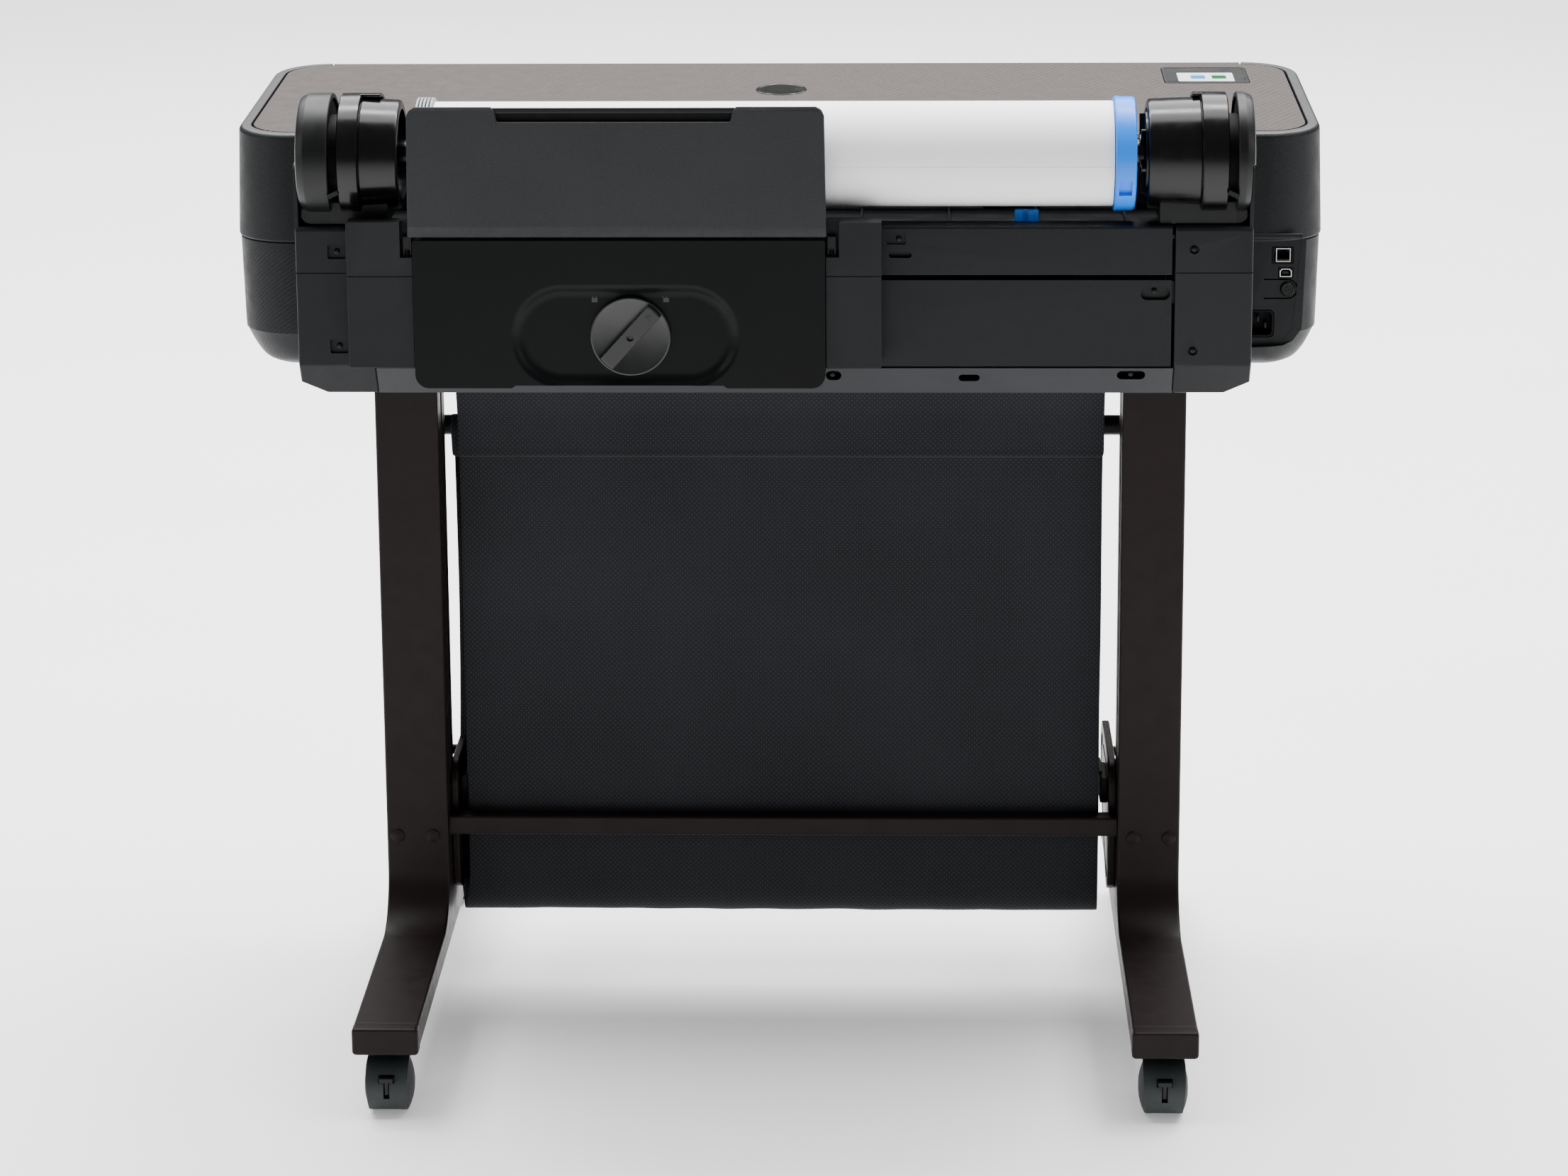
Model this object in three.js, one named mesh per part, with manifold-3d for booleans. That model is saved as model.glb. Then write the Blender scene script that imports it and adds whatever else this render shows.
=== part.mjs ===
// Roll-fed large format plotter on a wheeled stand with a media basket.
// Millimetres, +Z up, origin on the floor under the centre. -Y is the user's side, +Y the roll side.
import * as THREE from 'three';
import { mergeVertices } from 'three/addons/utils/BufferGeometryUtils.js';
import Module from 'manifold-3d';

const wasm = await Module();
wasm.setup();

// ---- Driving dimensions ----
const GAP = 0.3; // between pieces that touch
const WALL = 3; // moulded shell thickness

// Main casing
const CASE_HALF_W = 507;
const CASE_REAR = 66;
const CASE_FRONT = -262;
const CASE_CORNER = 55;
const CASE_BOTTOM = 645;
const SEAM_Z = 770; // upper casing meets lower casing
const TOP_REAR_Z = 871; // height of the top at its rear edge
const TOP_RISE = Math.tan(THREE.MathUtils.degToRad(3)); // the top rises towards the front
const TOP_TAPER = 3.5; // how far the sides lean in by the top
const RIM = 11; // frame left around the lid
const RIM_DEPTH = 8;
const LID_GAP = 2;
const LID_THICK = 5;
const LID_LIP = 18; // front edge of the lid turns down this far
const LIP_HALF = 450;

// Rear module that carries the roll
const MODULE_REAR = 185;
const MODULE_HALF_W = 430;
const END_PANEL_INNER = 360;
const MODULE_BOTTOM = 651;
const MODULE_TOP = 811;
const BAY_FLOOR = 800;
const PANEL_SEAM_Z = 766;

// Roll and its holders
const ROLL_Y = 148;
const ROLL_Z = 868;
const HOLDER_R = 56.2;
const COLLAR_R = 55.8;
const DRUM_R = 51.4;
const PAPER_R = 47.5;
const CORE_R = 25.4;
const PAPER_HALF = 304.8; // 24 inch roll
const FLANGE_R = 52;
const SPINDLE_R = 13;
const ROUND_SIDES = 24;
const SPINDLE_BORE = 13.2;
const CHEEK_X = 426.3; // the end panels rise outside the holders from here

// Sheet feeder on the rear
const FEED_X0 = -47.3;
const FEED_X1 = 321;
const FEED_FRONT = 187;
const FEED_REAR = 213;
const FEED_BOTTOM = 666;
const FEED_TOP = 801.3;
const FLAP_TOP = 921;
const KNOB_X = 127;
const KNOB_Z = 713.5;
const KNOB_R = 36;
const KNOB_ANGLE = THREE.MathUtils.degToRad(48);

// Stand
const LEG_IN = 324.5;
const LEG_OUT = 384.5;
const LEG_FRONT = -42;
const LEG_REAR = 16;
const FOOT_TOP = 88;
const FOOT_BOTTOM = 64;
const FOOT_END = 302.5;
const FOOT_CAP = 15;
const LEG_X = (LEG_IN + LEG_OUT) / 2;

// Basket
const REAR_BAR = { y: -6, z: 628 };
const FRONT_BAR = { y: -100, z: 555 };
const ARM_PIVOT = { y: -150, z: 205 };
const BAR_R = 10;
const ARM_X0 = 338;
const ARM_X1 = 343;
const CLOTH_HALF = 308;
const CLOTH_THICK = 3;

// Casters
const CASTER_Y = 258; // swivel axis
const CASTER_TRAIL = 15;
const WHEEL_R = 25; // to the flats of the tread
const WHEEL_SIDES = 16;
const AXLE_R = 4;
const HOOD_R = 28;

const group = new THREE.Group();

// ---- Shape helpers ----
function solid(geometry) {
  const g = geometry.index ? geometry.toNonIndexed() : geometry.clone();
  for (const name of Object.keys(g.attributes)) {
    if (name !== 'position') g.deleteAttribute(name);
  }
  const merged = mergeVertices(g, 1e-4);
  const index = merged.index.array;
  const kept = [];
  for (let i = 0; i < index.length; i += 3) {
    const [a, b, c] = [index[i], index[i + 1], index[i + 2]];
    if (a !== b && b !== c && c !== a) kept.push(a, b, c);
  }
  return new wasm.Manifold(new wasm.Mesh({
    numProp: 3,
    vertProperties: new Float32Array(merged.attributes.position.array),
    triVerts: new Uint32Array(kept),
  }));
}

function join(first, ...others) {
  return others.reduce((sum, other) => sum.add(other), first);
}

function cut(first, ...others) {
  return others.reduce((rest, other) => rest.subtract(other), first);
}

function box(x0, x1, y0, y1, z0, z1) {
  const g = new THREE.BoxGeometry(x1 - x0, y1 - y0, z1 - z0);
  g.translate((x0 + x1) / 2, (y0 + y1) / 2, (z0 + z1) / 2);
  return solid(g);
}

// A rod along +X, +Y or +Z from a to b, centred on (u, v) in the other two axes.
function rod(axis, radius, a, b, u, v, segments = 24) {
  const g = new THREE.CylinderGeometry(radius, radius, b - a, segments);
  g.rotateY(Math.PI / segments);
  const mid = (a + b) / 2;
  if (axis === 'x') g.rotateZ(-Math.PI / 2).translate(mid, u, v);
  else if (axis === 'y') g.translate(u, mid, v);
  else g.rotateX(Math.PI / 2).translate(u, v, mid);
  return solid(g);
}

// Radius for a faceted bore that a faceted shaft of this radius turns in without touching.
function bore(radius, segments) {
  return (radius + 0.05) / Math.cos(Math.PI / segments);
}

// A closed (x, r) profile turned about a line along X through (y, z).
function turned(profile, y, z, segments = 32) {
  const points = profile.map(([x, r]) => new THREE.Vector2(r, x));
  const g = new THREE.LatheGeometry(points, segments, Math.PI / segments);
  g.rotateZ(-Math.PI / 2).translate(0, y, z);
  const body = solid(g);
  return body.volume() < 0 ? solid(flipped(g)) : body;
}

function flipped(geometry) {
  const g = geometry.clone();
  const index = g.index.array;
  for (let i = 0; i < index.length; i += 3) [index[i], index[i + 1]] = [index[i + 1], index[i]];
  return g;
}

// A side outline of (y, z) points or a THREE.Shape pushed along X from x0 to x1.
function sidePlate(outline, x0, x1, options = {}) {
  const points = Array.isArray(outline) ? outline.map((p) => new THREE.Vector2(...p)) : null;
  const shape = points ? new THREE.Shape(points) : outline;
  const bevel = options.bevel ?? 0;
  const g = new THREE.ExtrudeGeometry(shape, {
    depth: x1 - x0 - 2 * bevel,
    bevelEnabled: bevel > 0,
    bevelSize: bevel,
    bevelThickness: bevel,
    bevelOffset: -bevel,
    bevelSegments: 1,
    curveSegments: options.curve ?? 5,
  });
  // shape x -> Y, shape y -> Z, depth -> X
  g.applyMatrix4(new THREE.Matrix4().makeBasis(
    new THREE.Vector3(0, 1, 0), new THREE.Vector3(0, 0, 1), new THREE.Vector3(1, 0, 0)));
  g.translate(x0 + bevel, 0, 0);
  return solid(g);
}

// A rear-view outline of (x, z) pushed along Y from y0 to y1.
function facePlate(shape, y0, y1, options = {}) {
  const bevel = options.bevel ?? 0;
  const g = new THREE.ExtrudeGeometry(shape, {
    depth: y1 - y0 - 2 * bevel,
    bevelEnabled: bevel > 0,
    bevelSize: bevel,
    bevelThickness: bevel,
    bevelOffset: -bevel,
    bevelSegments: 1,
    curveSegments: options.curve ?? 4,
  });
  g.rotateX(Math.PI / 2).translate(0, y1 - bevel, 0);
  return solid(g);
}

function roundRect(x0, x1, y0, y1, r) {
  const s = new THREE.Shape();
  s.moveTo(x0 + r, y0);
  s.lineTo(x1 - r, y0);
  s.absarc(x1 - r, y0 + r, r, -Math.PI / 2, 0);
  s.lineTo(x1, y1 - r);
  s.absarc(x1 - r, y1 - r, r, 0, Math.PI / 2);
  s.lineTo(x0 + r, y1);
  s.absarc(x0 + r, y1 - r, r, Math.PI / 2, Math.PI);
  s.lineTo(x0, y0 + r);
  s.absarc(x0 + r, y0 + r, r, Math.PI, 1.5 * Math.PI);
  return s;
}

// The casing's plan, pulled in by inset, as a ring of points.
function planRing(inset, segments = 6) {
  const r = Math.max(CASE_CORNER - inset, 6);
  const x = CASE_HALF_W - inset - r;
  const y0 = CASE_FRONT + inset + r;
  const y1 = CASE_REAR - inset - r;
  const ring = [];
  [[x, y1, 0], [-x, y1, 1], [-x, y0, 2], [x, y0, 3]].forEach(([cx, cy, quarter]) => {
    for (let i = 0; i <= segments; i++) {
      const a = (quarter + i / segments) * Math.PI / 2;
      ring.push([cx + r * Math.cos(a), cy + r * Math.sin(a)]);
    }
  });
  return ring;
}

// Stacks the casing's plan at each [z, inset] level into one solid.
function casingStack(levels) {
  const rings = levels.map(([z, inset]) => planRing(inset).map(([x, y]) => [x, y, z]));
  const n = rings[0].length;
  const positions = rings.flat(2);
  const index = [];
  rings.slice(1).forEach((_, k) => {
    for (let i = 0; i < n; i++) {
      const j = (i + 1) % n;
      const [a, b, c, d] = [k * n + i, k * n + j, (k + 1) * n + j, (k + 1) * n + i];
      index.push(a, b, c, a, c, d);
    }
  });
  const top = (rings.length - 1) * n;
  for (let i = 1; i < n - 1; i++) index.push(0, i + 1, i, top, top + i, top + i + 1);
  const g = new THREE.BufferGeometry();
  g.setAttribute('position', new THREE.Float32BufferAttribute(positions, 3));
  g.setIndex(index);
  return solid(g);
}

// A plan outline from height z0 to z1 above the casing's sloped top.
function topSlab(shape, z0, z1) {
  const g = new THREE.ExtrudeGeometry(shape, { depth: z1 - z0, bevelEnabled: false, curveSegments: 3 });
  g.translate(0, 0, z0 + TOP_REAR_Z + CASE_REAR * TOP_RISE);
  g.applyMatrix4(new THREE.Matrix4().set(1, 0, 0, 0, 0, 1, 0, 0, 0, -TOP_RISE, 1, 0, 0, 0, 0, 1));
  return solid(g);
}

// ---- Colours and finishes ----
const finish = (color, roughness, metalness = 0) => () =>
  new THREE.MeshStandardMaterial({ color, roughness, metalness });
const CASING = finish(0x2e2f31, 0.6);
const DARK = finish(0x1e1f21, 0.45);
const SATIN = finish(0x17181a, 0.3);
const TAUPE = finish(0x8a8280, 0.55);
const STAND = finish(0x38302f, 0.4, 0.3);
const STEEL = finish(0xa8aaad, 0.35, 0.9);
const PAPER = finish(0xf2f2f4, 0.9);
const BLUE = finish(0x3d92f0, 0.35);
const CLOTH = finish(0x1c1e20, 0.95);
const RUBBER = finish(0x202224, 0.8);
const GREY = finish(0x8b8e92, 0.5);
const BOARD = finish(0x1f5a3a, 0.5);

function add(name, body, material) {
  const mesh = body.getMesh();
  const g = new THREE.BufferGeometry();
  g.setAttribute('position', new THREE.BufferAttribute(new Float32Array(mesh.vertProperties), 3));
  g.setIndex(new THREE.BufferAttribute(new Uint32Array(mesh.triVerts), 1));
  g.computeVertexNormals();
  const node = new THREE.Mesh(g, material());
  node.name = name;
  group.add(node);
}

const SIDES = [['right', 1], ['left', -1]]; // right is +X, the user's right hand
const spanX = (side, a, b) => (side > 0 ? [a, b] : [-b, -a]);

// ---- Main casing ----
// Sockets and the power key sit in a flat recess at the casing's rear corner.
const PORTS = { x0: -496, x1: -431, face: 48, z0: 668, back: 4 };
const BUTTON = { x: -474, z: 722, r: 6.5, travel: 1.5 };
const INLET = { x0: -462, x1: -433, z0: 676, z1: 702 };
const LAN = { x0: -479, x1: -459, z0: 746, z1: 762 };
const USB = { x0: -479, x1: -465, z0: 732, z1: 742.5 };
const DOOR = { x0: -482, x1: -366, z0: 692, z1: 758 };

function lowerCasing() {
  const top = SEAM_Z - GAP;
  const outer = casingStack([
    [CASE_BOTTOM, 56], [646, 40], [649.5, 30], [656, 20], [668, 11], [684, 5.5], [top, 1.5],
  ]);
  const inner = casingStack([[649, 40], [656, 26], [668, 16], [684, 9], [top + 10, 1.5 + WALL]]);
  const rearOpening = box(-MODULE_HALF_W, MODULE_HALF_W, 30, 80, 655, top + 5);
  const backing = box(PORTS.x0 + 3, PORTS.x1, PORTS.face - PORTS.back, PORTS.face, 666, top)
    .intersect(casingStack([[660, 9], [top, 1.5 + WALL / 2]]));
  const recess = box(-520, PORTS.x1 + 3, PORTS.face, 80, PORTS.z0, top + 5);
  const hole = (p) => box(p.x0, p.x1, 30, 60, p.z0, p.z1);
  const doorway = box(DOOR.x0, DOOR.x1, CASE_FRONT - 10, CASE_FRONT + 12, DOOR.z0, DOOR.z1);
  const inkShelf = box(-CASE_HALF_W, DOOR.x1 + 8, CASE_FRONT + 8, -125, 680, 683)
    .intersect(casingStack([[660, 9], [700, 5]]));
  const shelfPost = box(DOOR.x1 + 4, DOOR.x1 + 8, -180, -140, 648, 682);
  const keyHole = rod('y', BUTTON.r + 0.5, 30, 60, BUTTON.x, BUTTON.z);
  const shell = join(cut(outer, inner, rearOpening), backing, inkShelf, shelfPost);
  return cut(shell, recess, hole(INLET), hole(LAN), hole(USB), keyHole, doorway);
}

function upperCasing() {
  const bottom = SEAM_Z + GAP;
  const outer = casingStack([[bottom, 0], [900, TOP_TAPER]]);
  const inner = casingStack([[bottom - 10, WALL], [900, TOP_TAPER + WALL]]);
  const everywhere = roundRect(-600, 600, -500, 200, 5);
  const above = topSlab(everywhere, 0, 60);
  const cavity = inner.intersect(topSlab(everywhere, -200, -RIM_DEPTH));
  const lidHole = casingStack([[bottom - 10, RIM + TOP_TAPER], [910, RIM + TOP_TAPER]]);
  const frontCut = box(-LIP_HALF - 2, LIP_HALF + 2, CASE_FRONT - 10, CASE_FRONT + 18, 868.5, 900);
  const slot = box(-332, 332, CASE_FRONT - 10, CASE_FRONT + 10, bottom - 5, 800);
  const rearOpening = box(-MODULE_HALF_W, MODULE_HALF_W, 30, 80, bottom - 5, 806);
  return cut(outer, cavity, lidHole, above, frontCut, slot, rearOpening);
}

const LID_FRONT = CASE_FRONT + TOP_TAPER;
const SCREEN = { x: -412, y: -192, w: 83, h: 73, glassW: 55, glassH: 42, glassY: 9 };

function centred(x, y, w, h, r) {
  return roundRect(x - w / 2, x + w / 2, y - h / 2, y + h / 2, r);
}

function topLid() {
  const inset = RIM + TOP_TAPER + LID_GAP;
  const ring = planRing(inset);
  const frontY = Math.min(...ring.map(([, y]) => y));
  const frontCorner = 3 * ring.length / 4;
  const nose = [[-LIP_HALF, frontY], [-LIP_HALF, LID_FRONT], [LIP_HALF, LID_FRONT], [LIP_HALF, frontY]];
  const outline = [...ring.slice(0, frontCorner), ...nose, ...ring.slice(frontCorner)];
  const plate = topSlab(new THREE.Shape(outline.map((p) => new THREE.Vector2(...p))), -LID_THICK, 0);
  const lipShape = roundRect(-LIP_HALF + 1, LIP_HALF - 1, LID_FRONT + 0.2, LID_FRONT + 4, 1);
  const lip = topSlab(lipShape, -LID_LIP, -1);
  const pocket = topSlab(centred(SCREEN.x, SCREEN.y, SCREEN.w, SCREEN.h, 5), -3, 5);
  return cut(join(plate, lip), pocket);
}

function displayBezel() {
  const plate = topSlab(centred(SCREEN.x, SCREEN.y, SCREEN.w - 1, SCREEN.h - 1, 4.5), -2.7, 0.5);
  const glass = centred(SCREEN.x, SCREEN.y + SCREEN.glassY, SCREEN.glassW, SCREEN.glassH, 2);
  return cut(plate, topSlab(glass, -1, 5));
}

function displayGlass() {
  const w = SCREEN.glassW - 0.6;
  const h = SCREEN.glassH - 0.6;
  return topSlab(centred(SCREEN.x, SCREEN.y + SCREEN.glassY, w, h, 1.7), -0.7, 0.2);
}

// ---- Ink supply and print engine, inside the casing ----
const DOOR_FACE = CASE_FRONT + 2;

function cartridgeDoor() {
  const c = 0.8;
  const plate = box(DOOR.x0 + c, DOOR.x1 - c, DOOR_FACE, DOOR_FACE + WALL, DOOR.z0 + c, DOOR.z1 - c);
  const grip = box(DOOR.x0 + 43, DOOR.x1 - 43, DOOR_FACE - 1, DOOR_FACE + 1.5, DOOR.z1 - 10, DOOR.z1 - 4);
  return cut(plate, grip);
}

function inkTanks() {
  const pitch = 27;
  const y0 = CASE_FRONT + 24;
  const tray = box(DOOR.x0 + 6, DOOR.x1 - 6, y0, y0 + 100, 683 + GAP, 690);
  const tanks = [0, 1, 2, 3].flatMap((slot) => {
    const x0 = DOOR.x0 + 7 + slot * pitch;
    return [box(x0, x0 + 22, y0, y0 + 100, 689, 748), box(x0 + 4, x0 + 18, y0 - 6, y0 + 1, 712, 738)];
  });
  return join(tray, ...tanks);
}

const FLOOR_IN = 649 + GAP; // casing's inside floor
const FEED_AXIS = { y: -38, z: 758, r: 12, shaft: 5 };
const PINCH = { z: 777.6, r: 7, shaft: 3 };
const RAIL = { y0: -70, y1: -62, z0: 792, z1: 846 };
const CARRIAGE = { x0: 360, x1: 470, travel: 800 };

function carriageRail() {
  const web = box(-488, 488, RAIL.y0, RAIL.y1, RAIL.z0, RAIL.z1);
  const shelf = box(-488, 488, RAIL.y1 - 1, RAIL.y1 + 22, RAIL.z0, RAIL.z0 + 3);
  const feet = [-466, 458].map((x) => box(x, x + 8, RAIL.y0, RAIL.y1 + 22, FLOOR_IN, RAIL.z0 + 1));
  const frames = [-344, 336].map((x) => box(x, x + 8, RAIL.y0, -22, FLOOR_IN, RAIL.z0 + 1));
  const bearing = rod('x', bore(FEED_AXIS.shaft, 16), -350, 350, FEED_AXIS.y, FEED_AXIS.z, 16);
  const pinchBearing = rod('x', bore(PINCH.shaft, 12), -350, 350, FEED_AXIS.y, PINCH.z, 12);
  return cut(join(web, shelf, ...feet, ...frames), bearing, pinchBearing);
}

function carriage() {
  const body = box(CARRIAGE.x0, CARRIAGE.x1, -150, RAIL.y0 - 0.6, 778, 842);
  const hook = box(CARRIAGE.x0, CARRIAGE.x1, RAIL.y0 - 2, RAIL.y1 + 5, RAIL.z1 + 0.6, RAIL.z1 + 6);
  const neck = box(CARRIAGE.x0, CARRIAGE.x1, -100, RAIL.y0 - 0.6, 838, RAIL.z1 + 6);
  const heads = box(CARRIAGE.x0 + 15, CARRIAGE.x1 - 15, -140, -90, 771, 779);
  return join(body, neck, hook, heads);
}

function carriageBelt() {
  const shape = roundRect(-478, 478, 818, 834, 7.9);
  shape.holes.push(roundRect(-476.4, 476.4, 819.6, 832.4, 6.3));
  return facePlate(shape, RAIL.y1 + 4, RAIL.y1 + 10, { curve: 2 });
}

function feedRoller() {
  return turned([
    [-343, 0], [-343, FEED_AXIS.shaft], [-334, FEED_AXIS.shaft], [-334, FEED_AXIS.r],
    [334, FEED_AXIS.r], [334, FEED_AXIS.shaft], [343, FEED_AXIS.shaft], [343, 0],
  ], FEED_AXIS.y, FEED_AXIS.z, 16);
}

function pinchRoller() {
  const profile = [[-343, 0], [-343, PINCH.shaft]];
  for (let i = 0; i < 3; i++) {
    const x = -247 + i * 220;
    profile.push([x, PINCH.shaft], [x, PINCH.r], [x + 54, PINCH.r], [x + 54, PINCH.shaft]);
  }
  profile.push([343, PINCH.shaft], [343, 0]);
  return turned(profile, FEED_AXIS.y, PINCH.z, 12);
}

function platen() {
  const y0 = CASE_FRONT + 6;
  const deck = box(-330, 330, y0, FEED_AXIS.y - 13, 765, 769);
  const legs = [-330, -2, 326].map((x) => box(x, x + 4, -215, RAIL.y0 - GAP, FLOOR_IN, 766));
  return join(deck, ...legs);
}

const BOARD_Y = 28.5;

function mainBoard() {
  return box(-484, -180, BOARD_Y - 2.5, BOARD_Y, 674, 764);
}

function powerSupply() {
  const can = box(100, 312, -215, -95, FLOOR_IN, 700);
  const terminals = box(311, 322, -200, -150, 655, 680);
  return join(can, terminals);
}

function socket(place, wall, tongues) {
  const y1 = PORTS.face - GAP;
  const c = GAP;
  const shell = box(place.x0 + c, place.x1 - c, BOARD_Y + c, y1, place.z0 + c, place.z1 - c);
  const inside = box(
    place.x0 + wall, place.x1 - wall, BOARD_Y + 4, y1 + 2, place.z0 + wall, place.z1 - wall,
  );
  const contacts = tongues.map(([x0, x1, z0, z1]) => box(x0, x1, BOARD_Y + 3, y1 - 2, z0, z1));
  return join(cut(shell, inside), ...contacts);
}

function powerInlet() {
  const mid = (INLET.x0 + INLET.x1) / 2;
  const blades = [-7, 0, 7].map((dx) => [mid + dx - 0.9, mid + dx + 0.9, dx ? 684 : 690, dx ? 689 : 695]);
  return socket(INLET, 2.5, blades);
}

function ethernetSocket() {
  return socket(LAN, 2, [[LAN.x0 + 5, LAN.x1 - 5, LAN.z0 + 4, LAN.z0 + 6]]);
}

function usbSocket() {
  return socket(USB, 1.5, [[USB.x0 + 4, USB.x1 - 4, USB.z0 + 3.5, USB.z1 - 3.5]]);
}

// ---- Rear module ----
function rearChassis() {
  const t = 4;
  const lipZ = 679;
  const frame = sidePlate([
    [46, MODULE_BOTTOM], [166, MODULE_BOTTOM], [MODULE_REAR - 1, lipZ - 1], [MODULE_REAR - 4, lipZ],
    [163, MODULE_BOTTOM + t], [60, MODULE_BOTTOM + t], [60, BAY_FLOOR - t], [180, BAY_FLOOR - t],
    [180, BAY_FLOOR], [56, BAY_FLOOR], [56, MODULE_BOTTOM + t], [46, MODULE_BOTTOM + t],
  ], -END_PANEL_INNER + GAP, END_PANEL_INNER - GAP);
  const standoffs = [-350, -200].map((x) => box(x, x + 8, BOARD_Y + GAP, 57, 690, 698));
  return join(frame, ...standoffs);
}

const PANEL_X = 357.5;

function ovalHole(x0, x1, z0, z1) {
  return facePlate(roundRect(x0, x1, z0, z1, (z1 - z0) / 2 - 0.01), 150, 210, { curve: 6 });
}

function rearLowerPanel() {
  const plate = box(-PANEL_X, PANEL_X, MODULE_REAR - 4, MODULE_REAR, 680, 759.5);
  return cut(plate, ovalHole(-356, -329.5, 741, 753));
}

function rearUpperPanel() {
  const plate = box(-PANEL_X, PANEL_X, MODULE_REAR - 4, MODULE_REAR, 764, 806);
  const lip = box(-PANEL_X, PANEL_X, MODULE_REAR - 26, MODULE_REAR - 0.5, 805, 808.5);
  const screwPocket = box(-119, -102, MODULE_REAR - 2, MODULE_REAR + 5, 792, 803);
  return cut(join(plate, lip), screwPocket, ovalHole(-124.5, -104, 779.7, 785));
}

function endPanel(side) {
  const [x0, x1] = spanX(side, END_PANEL_INNER, MODULE_HALF_W - GAP);
  const y0 = CASE_REAR + GAP;
  const ring = new THREE.Shape();
  const low = MODULE_BOTTOM;
  ring.moveTo(y0, low);
  ring.lineTo(166, low);
  ring.lineTo(MODULE_REAR, 679);
  ring.lineTo(MODULE_REAR, MODULE_TOP - 6);
  ring.absarc(MODULE_REAR - 6, MODULE_TOP - 6, 6, 0, Math.PI / 2);
  ring.lineTo(y0, MODULE_TOP);
  const outer = sidePlate(ring, x0, x1, { bevel: 1.5, curve: 2 });
  const [ix0, ix1] = side > 0 ? [x0 - 1, x1 - WALL] : [x0 + WALL, x1 + 1];
  const hollow = box(ix0, ix1, y0 - 1, MODULE_REAR - 24, low + WALL, MODULE_TOP - 8);
  const cradle = rod('x', HOLDER_R + 0.5, x0 - 1, x1 + 1, ROLL_Y, ROLL_Z, ROUND_SIDES);
  const seam = cut(box(x0 - 1, x1 + 1, y0 - 1, MODULE_REAR + 1, PANEL_SEAM_Z - 0.6, PANEL_SEAM_Z + 0.6),
    box(x0 - 2, x1 + 2, y0 - 2, MODULE_REAR - 1, PANEL_SEAM_Z - 2, PANEL_SEAM_Z + 2));
  const screwX = side > 0 ? 392 : -377;
  const wells = [786.5, 697].map((z) => rod('y', 4.2, MODULE_REAR - 3, MODULE_REAR + 3, screwX, z, 16));
  const [wx0, wx1] = spanX(side, CHEEK_X, MODULE_HALF_W - GAP);
  const cheek = box(wx0, wx1, ROLL_Y - 58, MODULE_REAR - 2, MODULE_TOP - 6, ROLL_Z - 2.3);
  return join(cut(outer, hollow, cradle, seam, ...wells), cheek);
}

// ---- Roll, spindle and their holders ----
// A drum, a collar and an end disc, and the saddle that they sit on. The disc is thicker on the right.
function rollHolder(side) {
  const rightSteps = [369, 388.5, 396.5, 425.5];
  const leftSteps = [382, 406, 414, MODULE_HALF_W - GAP];
  const [collar, slot, disc, end] = side > 0 ? rightSteps : leftSteps;
  const profile = [
    [352, 0], [352, SPINDLE_BORE], [343, SPINDLE_BORE], [343, 43], [335, 43], [335, DRUM_R - 3],
    [338, DRUM_R], [collar, DRUM_R], [collar + 1.5, COLLAR_R], [slot, COLLAR_R], [slot, 42], [disc, 42],
    [disc, HOLDER_R], [end - 8, HOLDER_R], [end - 3, HOLDER_R - 2], [end, HOLDER_R - 7], [end, 0],
  ].map(([x, r]) => [side * x, r]);
  const drum = turned(profile, ROLL_Y, ROLL_Z, ROUND_SIDES);
  const [x0, x1] = spanX(side, 345, CHEEK_X - GAP);
  const saddle = box(x0, x1, ROLL_Y - 50, ROLL_Y + 30, MODULE_TOP + GAP, 835);
  const [cx0, cx1] = spanX(side, CHEEK_X - GAP, MODULE_HALF_W + 5);
  const cheekRoom = box(cx0, cx1, ROLL_Y - 70, ROLL_Y + 70, 780, ROLL_Z - 2);
  return cut(join(drum, saddle), cheekRoom);
}

function spindle() {
  const end = 348;
  return turned([
    [-end, 0], [-end, SPINDLE_R], [-338.5, SPINDLE_R], [-337.5, 39], [-333, 39], [-333, 17], [-328, 17],
    [-328, SPINDLE_R], [-300, SPINDLE_R], [-300, 24.5], [299, 24.5], [299, SPINDLE_R],
    [end, SPINDLE_R], [end, 0],
  ], ROLL_Y, ROLL_Z, ROUND_SIDES);
}

function greyFlange() {
  const x0 = PAPER_HALF + 0.5;
  return turned([
    [x0 - 4, SPINDLE_R + GAP], [x0 - 4, 25], [x0, 25], [x0, FLANGE_R - 1], [x0 + 1, FLANGE_R],
    [x0 + 13, FLANGE_R], [x0 + 14, FLANGE_R - 1], [x0 + 14, 20], [x0 + 21, 20],
    [x0 + 21, SPINDLE_R + GAP],
    [x0 - 4, SPINDLE_R + GAP],
  ], ROLL_Y, ROLL_Z, ROUND_SIDES);
}

function paperRoll() {
  const x = PAPER_HALF;
  const tube = [[-x, CORE_R], [-x, PAPER_R], [x, PAPER_R], [x, CORE_R], [-x, CORE_R]];
  return turned(tube, ROLL_Y, ROLL_Z, 36);
}

function blueFlange() {
  const x0 = -PAPER_HALF - 0.5;
  const x1 = -327;
  const ring = turned([
    [x1, SPINDLE_R + GAP], [x1, FLANGE_R - 2], [x1 + 2, FLANGE_R], [x0 - 1, FLANGE_R], [x0, FLANGE_R - 1],
    [x0, 25], [x0 + 4, 25], [x0 + 4, SPINDLE_R + GAP], [x1, SPINDLE_R + GAP],
  ], ROLL_Y, ROLL_Z, ROUND_SIDES);
  const notches = [];
  for (let i = 0; i < 8; i++) {
    const a = (i + 0.5) * Math.PI / 4;
    const g = new THREE.BoxGeometry(9, 5, 12);
    g.translate(-323.5, 0, FLANGE_R).rotateX(a).translate(0, ROLL_Y, ROLL_Z);
    notches.push(solid(g));
  }
  return cut(ring, ...notches);
}

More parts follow.
